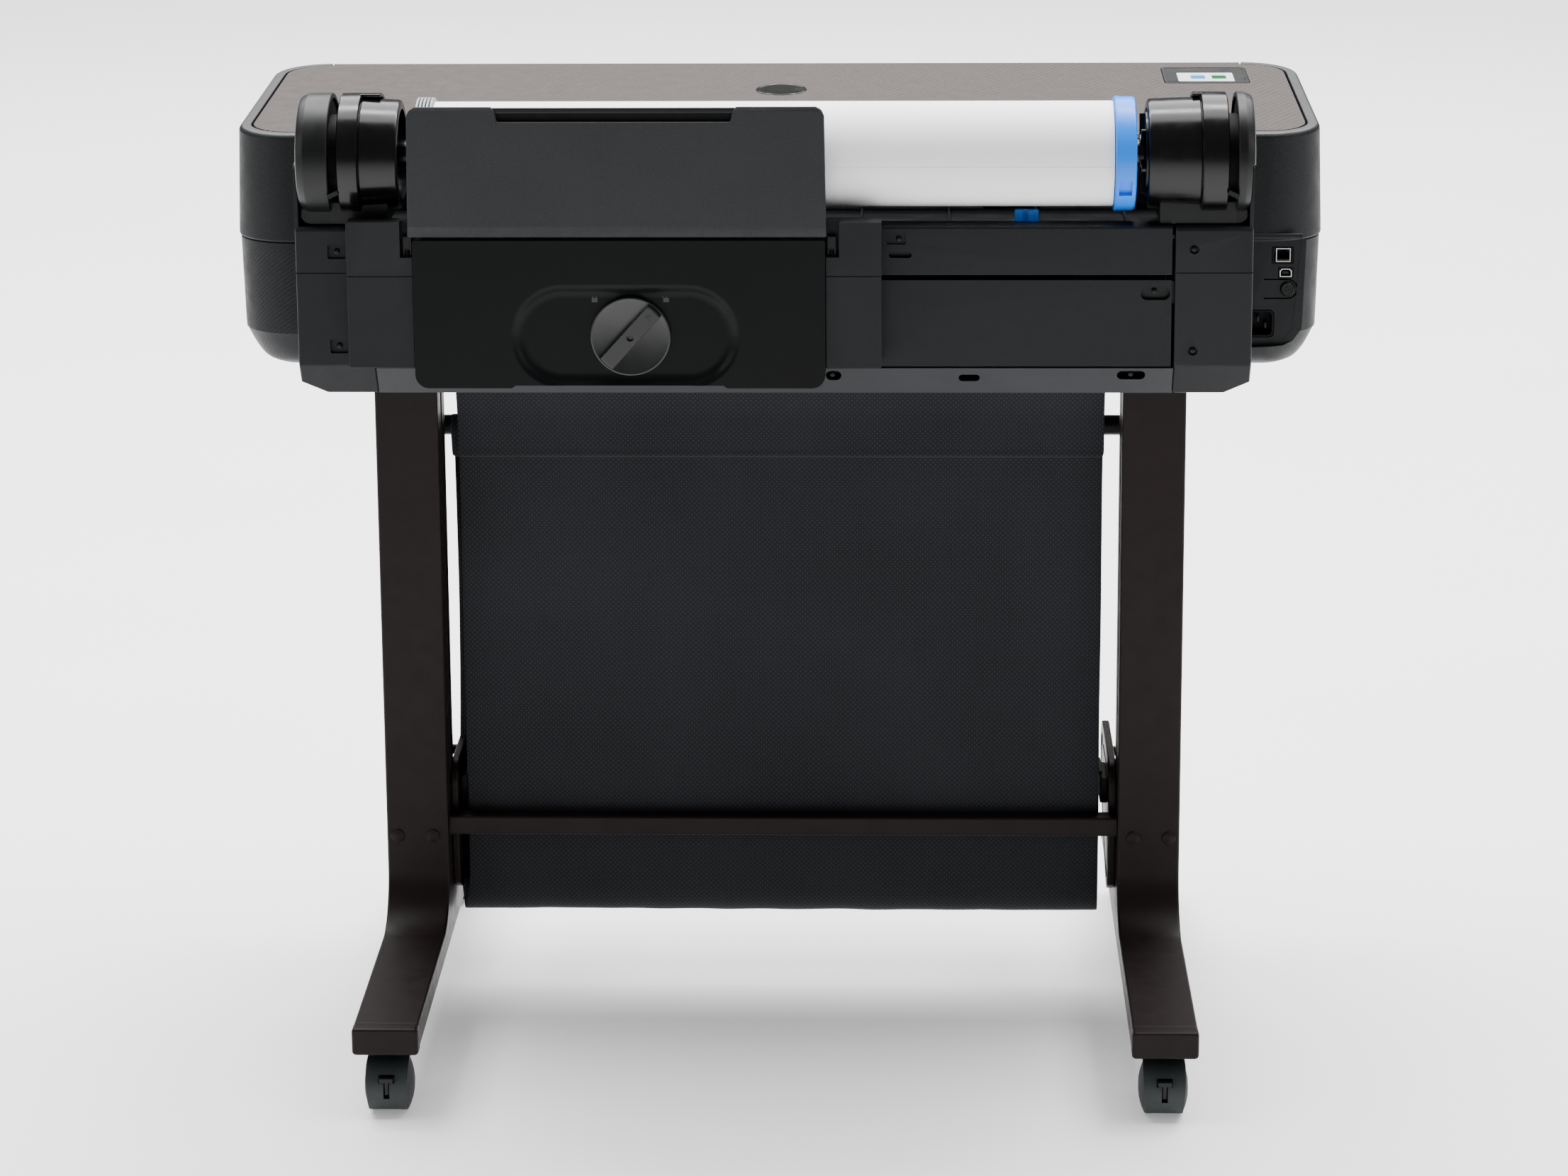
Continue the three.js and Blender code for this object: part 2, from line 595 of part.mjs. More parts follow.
function rollGuideClip() {
  const base = box(-240, -216, 138, 156, BAY_FLOOR + GAP, 806);
  const tab = box(-235, -221, 150, 156, 805, 818);
  return join(base, tab);
}

// ---- Sheet feeder ----
function shellBlock(shape, inner, y0, y1) {
  return cut(facePlate(shape, y0, y1), facePlate(inner, y0 - 5, y1 - WALL));
}

function stadium(grow) {
  const half = 40 + grow;
  return roundRect(KNOB_X - 51 - half, KNOB_X + 60 + half, KNOB_Z - half, KNOB_Z + half, half - 0.01);
}

function feederBody() {
  const outer = roundRect(FEED_X0, FEED_X1, FEED_BOTTOM, FEED_TOP, 8);
  const inner = roundRect(FEED_X0 + WALL, FEED_X1 - WALL, FEED_BOTTOM + WALL, FEED_TOP - WALL, 5);
  const shell = shellBlock(outer, inner, FEED_FRONT, FEED_REAR);
  const floor = facePlate(stadium(2), FEED_REAR - 9, FEED_REAR - 1);
  const recess = facePlate(stadium(0), FEED_REAR - 6, FEED_REAR + 5);
  const shaftHole = rod('y', bore(7, 16), FEED_REAR - 20, FEED_REAR + 5, KNOB_X, KNOB_Z, 16);
  return cut(join(shell, floor), recess, shaftHole);
}

function lockKnob() {
  const y0 = FEED_REAR - 5.6;
  const dish = rod('y', KNOB_R, y0, y0 + 5, KNOB_X, KNOB_Z, 24);
  const hollow = rod('y', KNOB_R - 3, y0 + 2.5, y0 + 8, KNOB_X, KNOB_Z, 24);
  const g = new THREE.BoxGeometry(2 * KNOB_R - 5, 9, 12);
  g.translate(0, y0 + 5.5, 0).rotateY(-KNOB_ANGLE).translate(KNOB_X, 0, KNOB_Z);
  const pivotPin = rod('y', 7, y0 - 8, y0 + 2, KNOB_X, KNOB_Z, 16);
  const dimple = rod('y', 3.3, y0 + 7, y0 + 14, KNOB_X, KNOB_Z, 10);
  return cut(join(cut(dish, hollow), solid(g), pivotPin), dimple);
}

function feederBracket(side) {
  const [x0, x1] = side > 0 ? [FEED_X1 + GAP, 380.5] : [-97.5, FEED_X0 - GAP];
  const y1 = FEED_REAR - 4;
  const shell = shellBlock(roundRect(x0, x1, 684, 817, 5), roundRect(x0 + WALL, x1 - WALL, 687, 814, 3),
    FEED_FRONT, y1);
  const [nx0, nx1] = side > 0 ? [x0 - 1, x0 + 11] : [x1 - 12, x1 + 1];
  const notch = box(nx0, nx1, 180, 220, 785, 820);
  const seam = box(x0 - 1, x1 + 1, y1 - 1, y1 + 1, 767.4, 768.6);
  return cut(shell, notch, seam);
}

const FLAP = { x0: -48.5, x1: 325, pivotY: 209.5, pivotZ: 807.5, thick: 7 };

function feederFlap() {
  const shape = new THREE.Shape();
  shape.moveTo(FLAP.x0, 804);
  shape.lineTo(FLAP.x1, 804);
  shape.lineTo(FLAP.x1 - 1.5, FLAP_TOP - 8);
  shape.lineTo(FLAP.x1 - 8, FLAP_TOP);
  shape.lineTo(248, FLAP_TOP);
  shape.lineTo(243, FLAP_TOP - 13);
  shape.lineTo(36, FLAP_TOP - 13);
  shape.lineTo(31, FLAP_TOP);
  shape.lineTo(FLAP.x0 + 8, FLAP_TOP);
  shape.lineTo(FLAP.x0 + 1.5, FLAP_TOP - 8);
  const plate = facePlate(shape, FEED_REAR - FLAP.thick, FEED_REAR, { bevel: 1.5 });
  const handle = box(33, 246, FEED_REAR - FLAP.thick, FEED_REAR - 3, FLAP_TOP - 15, FLAP_TOP - 4);
  const hollow = box(
    FLAP.x0 + 5, FLAP.x1 - 6, FEED_REAR - FLAP.thick - 1, FEED_REAR - 4, 811, FLAP_TOP - 19,
  );
  return cut(join(plate, handle), hollow);
}

// ---- Stand ----
function legShape() {
  const fillet = 52;
  const topZ = CASE_BOTTOM - GAP;
  const end = FOOT_END - FOOT_CAP - GAP;
  const s = new THREE.Shape();
  s.moveTo(-end, FOOT_BOTTOM);
  s.lineTo(end, FOOT_BOTTOM);
  s.lineTo(end, FOOT_TOP);
  s.lineTo(LEG_REAR + fillet, FOOT_TOP);
  s.absarc(LEG_REAR + fillet, FOOT_TOP + fillet, fillet, -Math.PI / 2, -Math.PI, true);
  s.lineTo(LEG_REAR, topZ);
  s.lineTo(LEG_FRONT, topZ);
  s.lineTo(LEG_FRONT, FOOT_TOP + fillet);
  s.absarc(LEG_FRONT - fillet, FOOT_TOP + fillet, fillet, 0, -Math.PI / 2, true);
  s.lineTo(-end, FOOT_TOP);
  return s;
}

const BRACKET = { y0: -176, y1: -11, z0: 101, z1: 236, inner: 317 };

function leg(side) {
  const [x0, x1] = spanX(side, LEG_IN, LEG_OUT);
  const column = sidePlate(legShape(), x0, x1, { bevel: 3, curve: 4 });
  const [gx0, gx1] = spanX(side, LEG_IN - 1, LEG_IN + 3);
  const groove = box(gx0, gx1, -20, -8, 240, CASE_BOTTOM + 5);
  const paddle = new THREE.Shape();
  paddle.moveTo(BRACKET.y1, 150);
  paddle.lineTo(BRACKET.y1, 214);
  paddle.absarc(BRACKET.y1 - 22, 214, 22, 0, Math.PI / 2);
  paddle.lineTo(BRACKET.y0 + 26, BRACKET.z1);
  paddle.absarc(BRACKET.y0 + 26, BRACKET.z1 - 26, 26, Math.PI / 2, Math.PI);
  paddle.quadraticCurveTo(BRACKET.y0 + 20, 150, -60, BRACKET.z0 + 3);
  paddle.quadraticCurveTo(BRACKET.y1 - 6, BRACKET.z0 - 6, BRACKET.y1, 150);
  const [px0, px1] = spanX(side, BRACKET.inner, LEG_IN + 3.5);
  const plate = sidePlate(paddle, px0, px1, { curve: 6 });
  const [bx0, bx1] = spanX(side, 309.5, BRACKET.inner + 1);
  const stop = box(bx0, bx1, -84, -34, 190, 216);
  const [rx0, rx1] = spanX(side, LEG_IN + 2, ARM_X1 + 2);
  const pivot = rod('x', 5, rx0, rx1, ARM_PIVOT.y, ARM_PIVOT.z, 12);
  return join(cut(column, groove), plate, stop, pivot);
}

function footCap(side, end) {
  const [x0, x1] = spanX(side, LEG_IN - 0.4, LEG_OUT + 0.4);
  const shape = roundRect(x0, x1, FOOT_BOTTOM - 1.5, FOOT_TOP + 0.4, 3);
  const [y0, y1] = end > 0 ? [FOOT_END - FOOT_CAP, FOOT_END] : [-FOOT_END, -FOOT_END + FOOT_CAP];
  return facePlate(shape, y0, y1, { curve: 2 });
}

function crossBrace() {
  const x = LEG_IN - GAP;
  return facePlate(roundRect(-x, x, 171, 190, 1.5), -10, 10, { curve: 3 });
}

function basketRearBar() {
  const x = LEG_IN - GAP;
  return rod('x', BAR_R, -x, x, REAR_BAR.y, REAR_BAR.z, 20);
}

function basketFrontBar() {
  const x = ARM_X0 - GAP;
  return rod('x', BAR_R, -x, x, FRONT_BAR.y, FRONT_BAR.z, 20);
}

function basketArm(side) {
  const dy = FRONT_BAR.y - ARM_PIVOT.y;
  const dz = FRONT_BAR.z - ARM_PIVOT.z;
  const length = Math.hypot(dy, dz);
  const s = new THREE.Shape();
  s.absarc(0, 0, 13, Math.PI - 0.4, 2 * Math.PI + 0.4);
  s.lineTo(8, 40);
  s.lineTo(8, length - 30);
  s.absarc(0, length, 15, -0.4, Math.PI + 0.4);
  s.lineTo(-8, length - 30);
  s.lineTo(-8, 40);
  const [x0, x1] = spanX(side, ARM_X0, ARM_X1);
  const bar = cut(sidePlate(s, x0, x1, { curve: 6 }), rod('x', bore(5, 12), x0 - 1, x1 + 1, 0, 0, 12));
  const tilt = THREE.MathUtils.radToDeg(Math.atan2(-dy, dz));
  return bar.rotate([tilt, 0, 0]).translate([0, ARM_PIVOT.y, ARM_PIVOT.z]);
}

function basketCloth() {
  const t = CLOTH_THICK;
  const rearY = -13;
  const bottomZ = 83;
  const bowZ = 380;
  const topZ = FRONT_BAR.z - BAR_R - 4;
  const s = new THREE.Shape();
  s.moveTo(rearY, REAR_BAR.z - BAR_R - 1);
  s.lineTo(rearY, bottomZ + 24);
  s.quadraticCurveTo(rearY, bottomZ, -38, bottomZ);
  s.quadraticCurveTo(-66, bottomZ, -72, bottomZ + 30);
  s.lineTo(-116, bowZ);
  s.lineTo(-104, topZ);
  s.lineTo(-104 + t, topZ);
  s.lineTo(-116 + t, bowZ);
  s.lineTo(-72 + t, bottomZ + 31);
  s.quadraticCurveTo(-64, bottomZ + t, -38, bottomZ + t);
  s.quadraticCurveTo(rearY - t, bottomZ + t, rearY - t, bottomZ + 24);
  s.lineTo(rearY - t, REAR_BAR.z - BAR_R - 1);
  return sidePlate(s, -CLOTH_HALF, CLOTH_HALF, { curve: 6 });
}

// ---- Casters: a hood with its stem, a pair of wheels on one axle, and a brake tab ----
function casterHood(x, end) {
  const axleY = end * (CASTER_Y + CASTER_TRAIL);
  const webHalf = 7.7;
  const [from, to] = end > 0 ? [-0.8, Math.PI / 2 + 0.9] : [Math.PI / 2 - 0.9, Math.PI + 0.8];
  const web = new THREE.Shape();
  web.absarc(axleY, WHEEL_R, HOOD_R - 1, from, to);
  web.absarc(axleY, WHEEL_R, WHEEL_R - 1.5, to, from + 2 * Math.PI);
  const core = sidePlate(web, x - webHalf, x + webHalf);
  const fender = new THREE.Shape();
  fender.absarc(axleY, WHEEL_R, HOOD_R, from, to);
  fender.absarc(axleY, WHEEL_R, WHEEL_R + 1, to, from, true);
  const cover = sidePlate(fender, x - 18.5, x + 18.5);
  const stem = rod('z', 9, 45, FOOT_BOTTOM - GAP, x, end * CASTER_Y, 10);
  const topPlate = rod('z', 17, 56, FOOT_BOTTOM - GAP, x, end * CASTER_Y, 14);
  const wheelRoom = rod('x', WHEEL_R + 1, x - 30, x + 30, axleY, WHEEL_R, 24);
  const axleHole = rod('x', bore(AXLE_R, WHEEL_SIDES), x - 9, x + 9, axleY, WHEEL_R, WHEEL_SIDES);
  const reach = (from, to) => [axleY + end * from, axleY + end * to].sort((a, b) => a - b);
  const stemSlot = box(x - 4, x + 4, ...reach(15, HOOD_R + 3), 10, 43);
  const tabSlot = box(x - 8.2, x + 8.2, ...reach(WHEEL_R - 2, HOOD_R + 3), 31, 43);
  const underside = box(x - 30, x + 30, axleY - 40, axleY + 40, -5, 4);
  const mounting = cut(join(stem, topPlate), wheelRoom);
  return cut(join(core, cover, mounting), axleHole, stemSlot, tabSlot, underside);
}

function casterWheels(x, end) {
  const tread = WHEEL_R / Math.cos(Math.PI / WHEEL_SIDES);
  const half = [[22.5, 0], [22.5, 9], [18, tread], [9.5, tread], [8.3, tread - 1.2], [8.3, AXLE_R]];
  const profile = [...half.map(([a, r]) => [x - a, r]), ...half.map(([a, r]) => [x + a, r]).reverse()];
  return turned(profile, end * (CASTER_Y + CASTER_TRAIL), WHEEL_R, WHEEL_SIDES);
}

function casterBrake(x, end) {
  const face = end * (CASTER_Y + CASTER_TRAIL + HOOD_R);
  const reach = (from, to) => [face + end * from, face + end * to].sort((a, b) => a - b);
  const stem = box(x - 3, x + 3, ...reach(-4.5, -1), 15, 41);
  const tab = box(x - 7.5, x + 7.5, ...reach(-3, 1.5), 35, 41);
  return join(stem, tab);
}

// ---- Assembly ----
add('lower_casing', lowerCasing(), CASING);
add('upper_casing', upperCasing(), CASING);
add('top_lid', topLid(), TAUPE);
add('display_bezel', displayBezel(), DARK);
add('display_screen', displayGlass(), finish(0xeef2f5, 0.1));
add('cartridge_door', cartridgeDoor(), CASING);
add('ink_tanks', inkTanks(), DARK);
add('carriage_rail', carriageRail(), STEEL);
add('print_carriage', carriage(), DARK);
add('carriage_belt', carriageBelt(), RUBBER);
add('feed_roller', feedRoller(), GREY);
add('pinch_rollers', pinchRoller(), RUBBER);
add('platen', platen(), DARK);
add('main_board', mainBoard(), BOARD);
add('power_supply', powerSupply(), STEEL);
add('power_inlet', powerInlet(), DARK);
add('ethernet_socket', ethernetSocket(), STEEL);
add('usb_socket', usbSocket(), STEEL);
add('rear_chassis', rearChassis(), finish(0x48494b, 0.55));
add('rear_upper_panel', rearUpperPanel(), CASING);
add('rear_lower_panel', rearLowerPanel(), CASING);
add('power_button', rod('y', BUTTON.r, PORTS.face - 6, PORTS.face + 2, BUTTON.x, BUTTON.z, 24), DARK);
add('spindle', spindle(), GREY);
add('grey_flange', greyFlange(), GREY);
add('paper_roll', paperRoll(), PAPER);
add('blue_flange', blueFlange(), BLUE);
add('roll_guide_clip', rollGuideClip(), BLUE);
add('feeder_body', feederBody(), DARK);
add('feeder_flap', feederFlap(), CASING);
add('lock_knob', lockKnob(), DARK);
add('cross_brace', crossBrace(), STAND);
add('basket_rear_bar', basketRearBar(), DARK);
add('basket_front_bar', basketFrontBar(), DARK);
add('basket_cloth', basketCloth(), CLOTH);
for (const [name, side] of SIDES) {
  add(`end_panel_${name}`, endPanel(side), CASING);
  add(`roll_holder_${name}`, rollHolder(side), SATIN);
  add(`feeder_bracket_${name}`, feederBracket(side), CASING);
  add(`leg_${name}`, leg(side), STAND);
  add(`basket_arm_${name}`, basketArm(side), DARK);
  for (const [place, end] of [['rear', 1], ['front', -1]]) {
    add(`foot_cap_${place}_${name}`, footCap(side, end), STAND);
    add(`caster_hood_${place}_${name}`, casterHood(side * LEG_X, end), DARK);
    add(`caster_wheels_${place}_${name}`, casterWheels(side * LEG_X, end), RUBBER);
    add(`caster_brake_${place}_${name}`, casterBrake(side * LEG_X, end), DARK);
  }
}

export default group;
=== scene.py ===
"""Looks of the large format plotter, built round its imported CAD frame.

Lengths are in millimetres until to_object() turns a mesh into metres. +X is the user's right, +Y the
roll side, +Z up. "side" is +1 or -1 for the half of the machine at +X or -X.
"""
from math import atan2, cos, degrees, hypot, pi, radians, sin, tan

import bmesh
import bpy
from mathutils import Matrix, Vector, noise


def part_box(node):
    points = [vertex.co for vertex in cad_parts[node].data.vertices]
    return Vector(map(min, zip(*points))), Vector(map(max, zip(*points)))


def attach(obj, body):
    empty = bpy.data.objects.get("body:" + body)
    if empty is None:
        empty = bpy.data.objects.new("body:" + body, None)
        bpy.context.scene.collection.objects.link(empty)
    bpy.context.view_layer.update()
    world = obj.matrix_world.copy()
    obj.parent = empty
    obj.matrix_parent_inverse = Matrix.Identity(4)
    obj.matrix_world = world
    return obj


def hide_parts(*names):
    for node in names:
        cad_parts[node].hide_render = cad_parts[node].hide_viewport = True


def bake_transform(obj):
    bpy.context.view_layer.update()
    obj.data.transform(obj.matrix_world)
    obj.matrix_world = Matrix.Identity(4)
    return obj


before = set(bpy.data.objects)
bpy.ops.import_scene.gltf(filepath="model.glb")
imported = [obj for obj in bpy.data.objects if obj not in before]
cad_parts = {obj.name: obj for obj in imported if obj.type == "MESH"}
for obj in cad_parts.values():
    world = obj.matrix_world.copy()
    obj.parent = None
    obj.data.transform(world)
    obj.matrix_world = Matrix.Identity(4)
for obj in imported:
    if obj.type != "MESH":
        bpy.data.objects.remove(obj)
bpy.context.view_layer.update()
scene = bpy.context.scene

MM = 0.001
BODY = "body"
SIDES = {"right": 1, "left": -1}
ENDS = {"rear": 1, "front": -1}


def box_of(node):
    """A CAD node's lowest and highest corner, in millimetres."""
    low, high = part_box(node)
    return [c / MM for c in low], [c / MM for c in high]


# ---- Mesh helpers -----------------------------------------------------------------------------

def spot(axis, along, u, v):
    """The 3-D point at (u, v) across an axis and along it."""
    return {"x": (along, u, v), "y": (u, along, v), "z": (u, v, along)}[axis]


def arc(cu, cv, r, start, end, steps=8):
    """Points of an arc, with its angles in degrees."""
    return [(cu + r * cos(radians(start + (end - start) * i / steps)),
             cv + r * sin(radians(start + (end - start) * i / steps))) for i in range(steps + 1)]


def rounded(u0, u1, v0, v1, r, steps=6):
    """A rectangle's outline with round corners."""
    r = min(r, (u1 - u0) / 2 - 0.01, (v1 - v0) / 2 - 0.01)
    corners = ((u1 - r, v0 + r, -90), (u1 - r, v1 - r, 0), (u0 + r, v1 - r, 90), (u0 + r, v0 + r, 180))
    return [p for cu, cv, a in corners for p in arc(cu, cv, r, a, a + 90, steps)]


def bevel_edges(bm, width, steps=2, above=30):
    """Rounds every edge that turns by more than some degrees."""
    edges = [e for e in bm.edges if len(e.link_faces) == 2 and e.calc_face_angle(0) > radians(above)]
    bmesh.ops.bevel(bm, geom=edges, offset=width, segments=steps, profile=0.5, affect="EDGES",
                    clamp_overlap=True)
    return bm


def prism(outline, axis, a, b, bevel=0.0, steps=2):
    """An outline pushed along an axis from a to b."""
    return loft([[spot(axis, t, u, v) for u, v in outline] for t in (a, b)], bevel=bevel, steps=steps)


def block(x0, x1, y0, y1, z0, z1, bevel=0.0, steps=2):
    return prism([(x0, y0), (x1, y0), (x1, y1), (x0, y1)], "z", z0, z1, bevel, steps)


def loft(rings, capped=True, bevel=0.0, steps=2):
    """Skins rings of equal length. It is capped at both ends, or closed into a loop."""
    bm = bmesh.new()
    rows = [[bm.verts.new(p) for p in ring] for ring in rings]
    count = len(rows[0])
    for low, high in zip(rows, rows[1:] + ([] if capped else rows[:1])):
        for i in range(count):
            j = (i + 1) % count
            bm.faces.new((low[i], low[j], high[j], high[i]))
    if capped:
        bm.faces.new(rows[0])
        bm.faces.new(rows[-1])
    bmesh.ops.recalc_face_normals(bm, faces=bm.faces)
    return bevel_edges(bm, bevel, steps) if bevel else bm


def lathe(profile, axis, u, v, sides=96):
    """A closed profile of (along, radius) pairs turned about an axis through (u, v)."""
    bm = bmesh.new()
    rows = []
    for along, r in profile:
        if r < 1e-6:
            rows.append([bm.verts.new(spot(axis, along, u, v))])
        else:
            rows.append([bm.verts.new(spot(axis, along, u + r * cos(2 * pi * i / sides),
                                           v + r * sin(2 * pi * i / sides))) for i in range(sides)])
    on_axis = len(rows[0]) == 1 and len(rows[-1]) == 1
    for low, high in zip(rows, rows[1:] + ([] if on_axis else rows[:1])):
        for i in range(sides):
            j = (i + 1) % sides
            corners = [low[i % len(low)], low[j % len(low)], high[j % len(high)], high[i % len(high)]]
            corners = list(dict.fromkeys(corners))
            if len(corners) > 2:
                bm.faces.new(corners)
    bmesh.ops.recalc_face_normals(bm, faces=bm.faces)
    return bm


def rod(axis, r, a, b, u, v, edge=0.5, sides=48):
    """A turned rod with softened rims."""
    e = min(edge, r * 0.4)
    k = e * 0.3
    return lathe([(a, 0), (a, r - e), (a + k, r - k), (a + e, r), (b - e, r), (b - k, r - k), (b, r - e),
                  (b, 0)], axis, u, v, sides)


def merge(*parts):
    """Puts several meshes in one, as separate bodies."""
    whole = parts[0]
    for part in parts[1:]:
        mesh = bpy.data.meshes.new("part")
        part.to_mesh(mesh)
        part.free()
        whole.from_mesh(mesh)
        bpy.data.meshes.remove(mesh)
    return whole


def shift(bm, x=0.0, y=0.0, z=0.0):
    bmesh.ops.translate(bm, vec=(x, y, z), verts=bm.verts)
    return bm


def turn(bm, angle, axis, centre):
    """Turns a mesh by some degrees about an axis letter through a centre."""
    bmesh.ops.rotate(bm, cent=centre, matrix=Matrix.Rotation(radians(angle), 3, axis.upper()), verts=bm.verts)
    return bm


def raw_object(bm):
    mesh = bpy.data.meshes.new("raw")
    bm.to_mesh(mesh)
    bm.free()
    made = bpy.data.objects.new("raw", mesh)
    scene.collection.objects.link(made)
    return made


def boolean(base, tools, operation="DIFFERENCE"):
    """Cuts the tools out of a mesh, or joins them to it."""
    target = raw_object(base)
    others = [raw_object(tool) for tool in tools]
    for other in others:
        step = target.modifiers.new("step", "BOOLEAN")
        step.object = other
        step.operation = operation
        step.solver = "EXACT"
    view = bpy.context.evaluated_depsgraph_get()
    result = bpy.data.meshes.new_from_object(target.evaluated_get(view))
    bm = bmesh.new()
    bm.from_mesh(result)
    bpy.data.meshes.remove(result)
    for used in [target, *others]:
        mesh = used.data
        bpy.data.objects.remove(used)
        bpy.data.meshes.remove(mesh)
    bmesh.ops.remove_doubles(bm, verts=bm.verts, dist=0.001)
    bmesh.ops.dissolve_degenerate(bm, edges=bm.edges, dist=0.001)
    return bm


def to_object(name, bm, smooth=35):
    bmesh.ops.scale(bm, vec=(MM, MM, MM), verts=bm.verts)
    mesh = bpy.data.meshes.new(name)
    bm.to_mesh(mesh)
    bm.free()
    mesh.shade_smooth()
    mesh.set_sharp_from_angle(angle=radians(smooth))
    made = bpy.data.objects.new(name, mesh)
    scene.collection.objects.link(made)
    return made


def soften(obj, width, above=40, steps=2):
    """Rounds an object's sharp edges by a modifier."""
    edge = obj.modifiers.new("edges", "BEVEL")
    edge.width = width * MM
    edge.segments = steps
    edge.limit_method = "ANGLE"
    edge.angle_limit = radians(above)
    edge.harden_normals = True
    return obj


def piece(name, bm, body, slot, look=None, replaces=(), smooth=35, edge=0.0):
    """A finished piece: it rides on a body and takes a record slot's finish."""
    obj = to_object(name, bm, smooth)
    obj.data.materials.append(look or LOOKS[slot])
    if edge:
        soften(obj, edge)
    even = obj.modifiers.new("even", "WEIGHTED_NORMAL")
    even.keep_sharp = True
    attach(obj, body)
    if replaces:
        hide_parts(*([replaces] if isinstance(replaces, str) else replaces))
    return obj


# ---- Materials --------------------------------------------------------------------------------

def srgb(code):
    """A hex colour as linear RGBA."""
    parts = [int(code[i:i + 2], 16) / 255 for i in (0, 2, 4)]
    return (*[c / 12.92 if c <= 0.04045 else ((c + 0.055) / 1.055) ** 2.4 for c in parts], 1.0)


def scaled(colour, k):
    return (*[min(c * k, 1.0) for c in colour[:3]], 1.0)


class Shader:
    """A material's node tree, with short calls for the nodes used here. Sizes are in millimetres."""

    def __init__(self, name, rough, metal=0.0, **constants):
        self.material = bpy.data.materials.new(name)
        self.material.use_nodes = True
        self.tree = self.material.node_tree
        self.surface = self.tree.nodes["Principled BSDF"]
        self.surface.inputs["Roughness"].default_value = rough
        self.surface.inputs["Metallic"].default_value = metal
        for socket, value in constants.items():
            self.surface.inputs[socket.replace("_", " ")].default_value = value
        self.place = self.node("ShaderNodeTexCoord").outputs["Object"]
        self.normal = None

    def node(self, kind, inputs=None, **options):
        made = self.tree.nodes.new(kind)
        for key, value in options.items():
            setattr(made, key, value)
        for key, value in (inputs or {}).items():
            if isinstance(value, bpy.types.NodeSocket):
                self.tree.links.new(value, made.inputs[key])
            else:
                made.inputs[key].default_value = value
        return made

    def drive(self, socket, value):
        self.tree.links.new(value, self.surface.inputs[socket])

    def math(self, operation, a, b=0.0):
        return self.node("ShaderNodeMath", {0: a, 1: b}, operation=operation).outputs[0]

    def noise(self, size, detail=2.0, stretch=(1, 1, 1)):
        """Clouds about this many millimetres across."""
        k = 1 / (size * MM)
        spread = self.node("ShaderNodeMapping", {"Vector": self.place, "Scale": [k * s for s in stretch]})
        return self.node("ShaderNodeTexNoise", {"Vector": spread.outputs[0], "Scale": 1.0,
                                                "Detail": detail}).outputs[0]

    def ridges(self, direction, pitch, warp=None):
        """A sine wave from 0 to 1 along a direction."""
        unit = Vector(direction).normalized()
        along = self.node("ShaderNodeVectorMath", {0: self.place, 1: unit},
                          operation="DOT_PRODUCT").outputs[1]
        turns = self.math("MULTIPLY", along, 2 * pi / (pitch * MM))
        if warp is not None:
            turns = self.math("ADD", turns, warp)
        return self.remap(self.math("SINE", turns), -1, 1)

    def remap(self, value, low, high, to_low=0.0, to_high=1.0):
        return self.node("ShaderNodeMapRange", {0: value, 1: low, 2: high, 3: to_low, 4: to_high}).outputs[0]

    def mix(self, a, b, share):
        return self.node("ShaderNodeMix", {0: share, 6: a, 7: b}, data_type="RGBA").outputs[2]

    def edges(self, strength):
        """Convex edges, where a finish wears and catches dust, and where a highlight is painted along the
        edge.
        """
        point = self.node("ShaderNodeNewGeometry").outputs["Pointiness"]
        return self.remap(point, 0.52, 0.60, 0.0, strength)

    def bump(self, height, depth, strength=1.0):
        made = self.node("ShaderNodeBump", {"Height": height, "Distance": depth * MM, "Strength": strength})
        if self.normal is not None:
            self.tree.links.new(self.normal, made.inputs["Normal"])
        self.normal = made.outputs[0]
        self.drive("Normal", self.normal)


def plastic(name, colour, rough, grain=0.9, depth=0.03, mottle=0.10, edge_wear_and_highlight=0.25, fleck=0.2, **constants):
    """Moulded plastic or paint: fine grain, cloudy shade, uneven gloss and paler edges."""
    s = Shader(name, rough, **constants)
    base = srgb(colour)
    cloud = s.remap(s.noise(110, 3), 0.35, 0.65)
    speck = s.remap(s.noise(grain * 1.6, 1), 0.3, 0.7)
    shade = s.mix(scaled(base, 1 - mottle), scaled(base, 1 + mottle), cloud)
    shade = s.mix(shade, scaled(base, 1.8), s.math("MULTIPLY", speck, fleck))
    # Paler convex edges: partly wear, partly a painted highlight along the edges.
    shade = s.mix(shade, scaled(base, 2.2), s.edges(edge_wear_and_highlight))
    s.drive("Base Color", shade)
    s.drive("Roughness", s.remap(s.noise(17, 4), 0.3, 0.7, rough - 0.05, rough + 0.06))
    s.bump(s.noise(grain, 1), depth)
    return s


def metal(name, colour, rough, stretch=(1, 1, 1)):
    s = Shader(name, rough, 1.0)
    base = srgb(colour)
    s.drive("Base Color", s.mix(scaled(base, 0.8), scaled(base, 1.1), s.noise(30, 3)))
    s.drive("Roughness", s.remap(s.noise(1.2, 3, stretch), 0.3, 0.7, rough - 0.1, rough + 0.12))
    s.bump(s.noise(0.5, 2, stretch), 0.01)
    return s.material


def taupe_look():
    """The lid's finish: fine slanted lines pressed into a warm grey sheet."""
    s = plastic("taupe_lid", "231c1a", 0.6, grain=0.5, depth=0.01, mottle=0.05, edge_wear_and_highlight=0.1,
                Specular_IOR_Level=0.3)
    lines = s.ridges((0.87, 0.5, 0), 3.2)
    cross = s.ridges((0.87, -0.5, 0), 6.4)
    pressed = s.math("MULTIPLY", s.remap(lines, 0.35, 0.75), s.remap(cross, 0.2, 0.7, 0.35, 1.0))
    old = s.surface.inputs["Base Color"].links[0].from_socket
    s.drive("Base Color", s.mix(old, srgb("4f4541"), s.math("MULTIPLY", pressed, 0.9)))
    s.bump(pressed, 0.18)
    return s.material


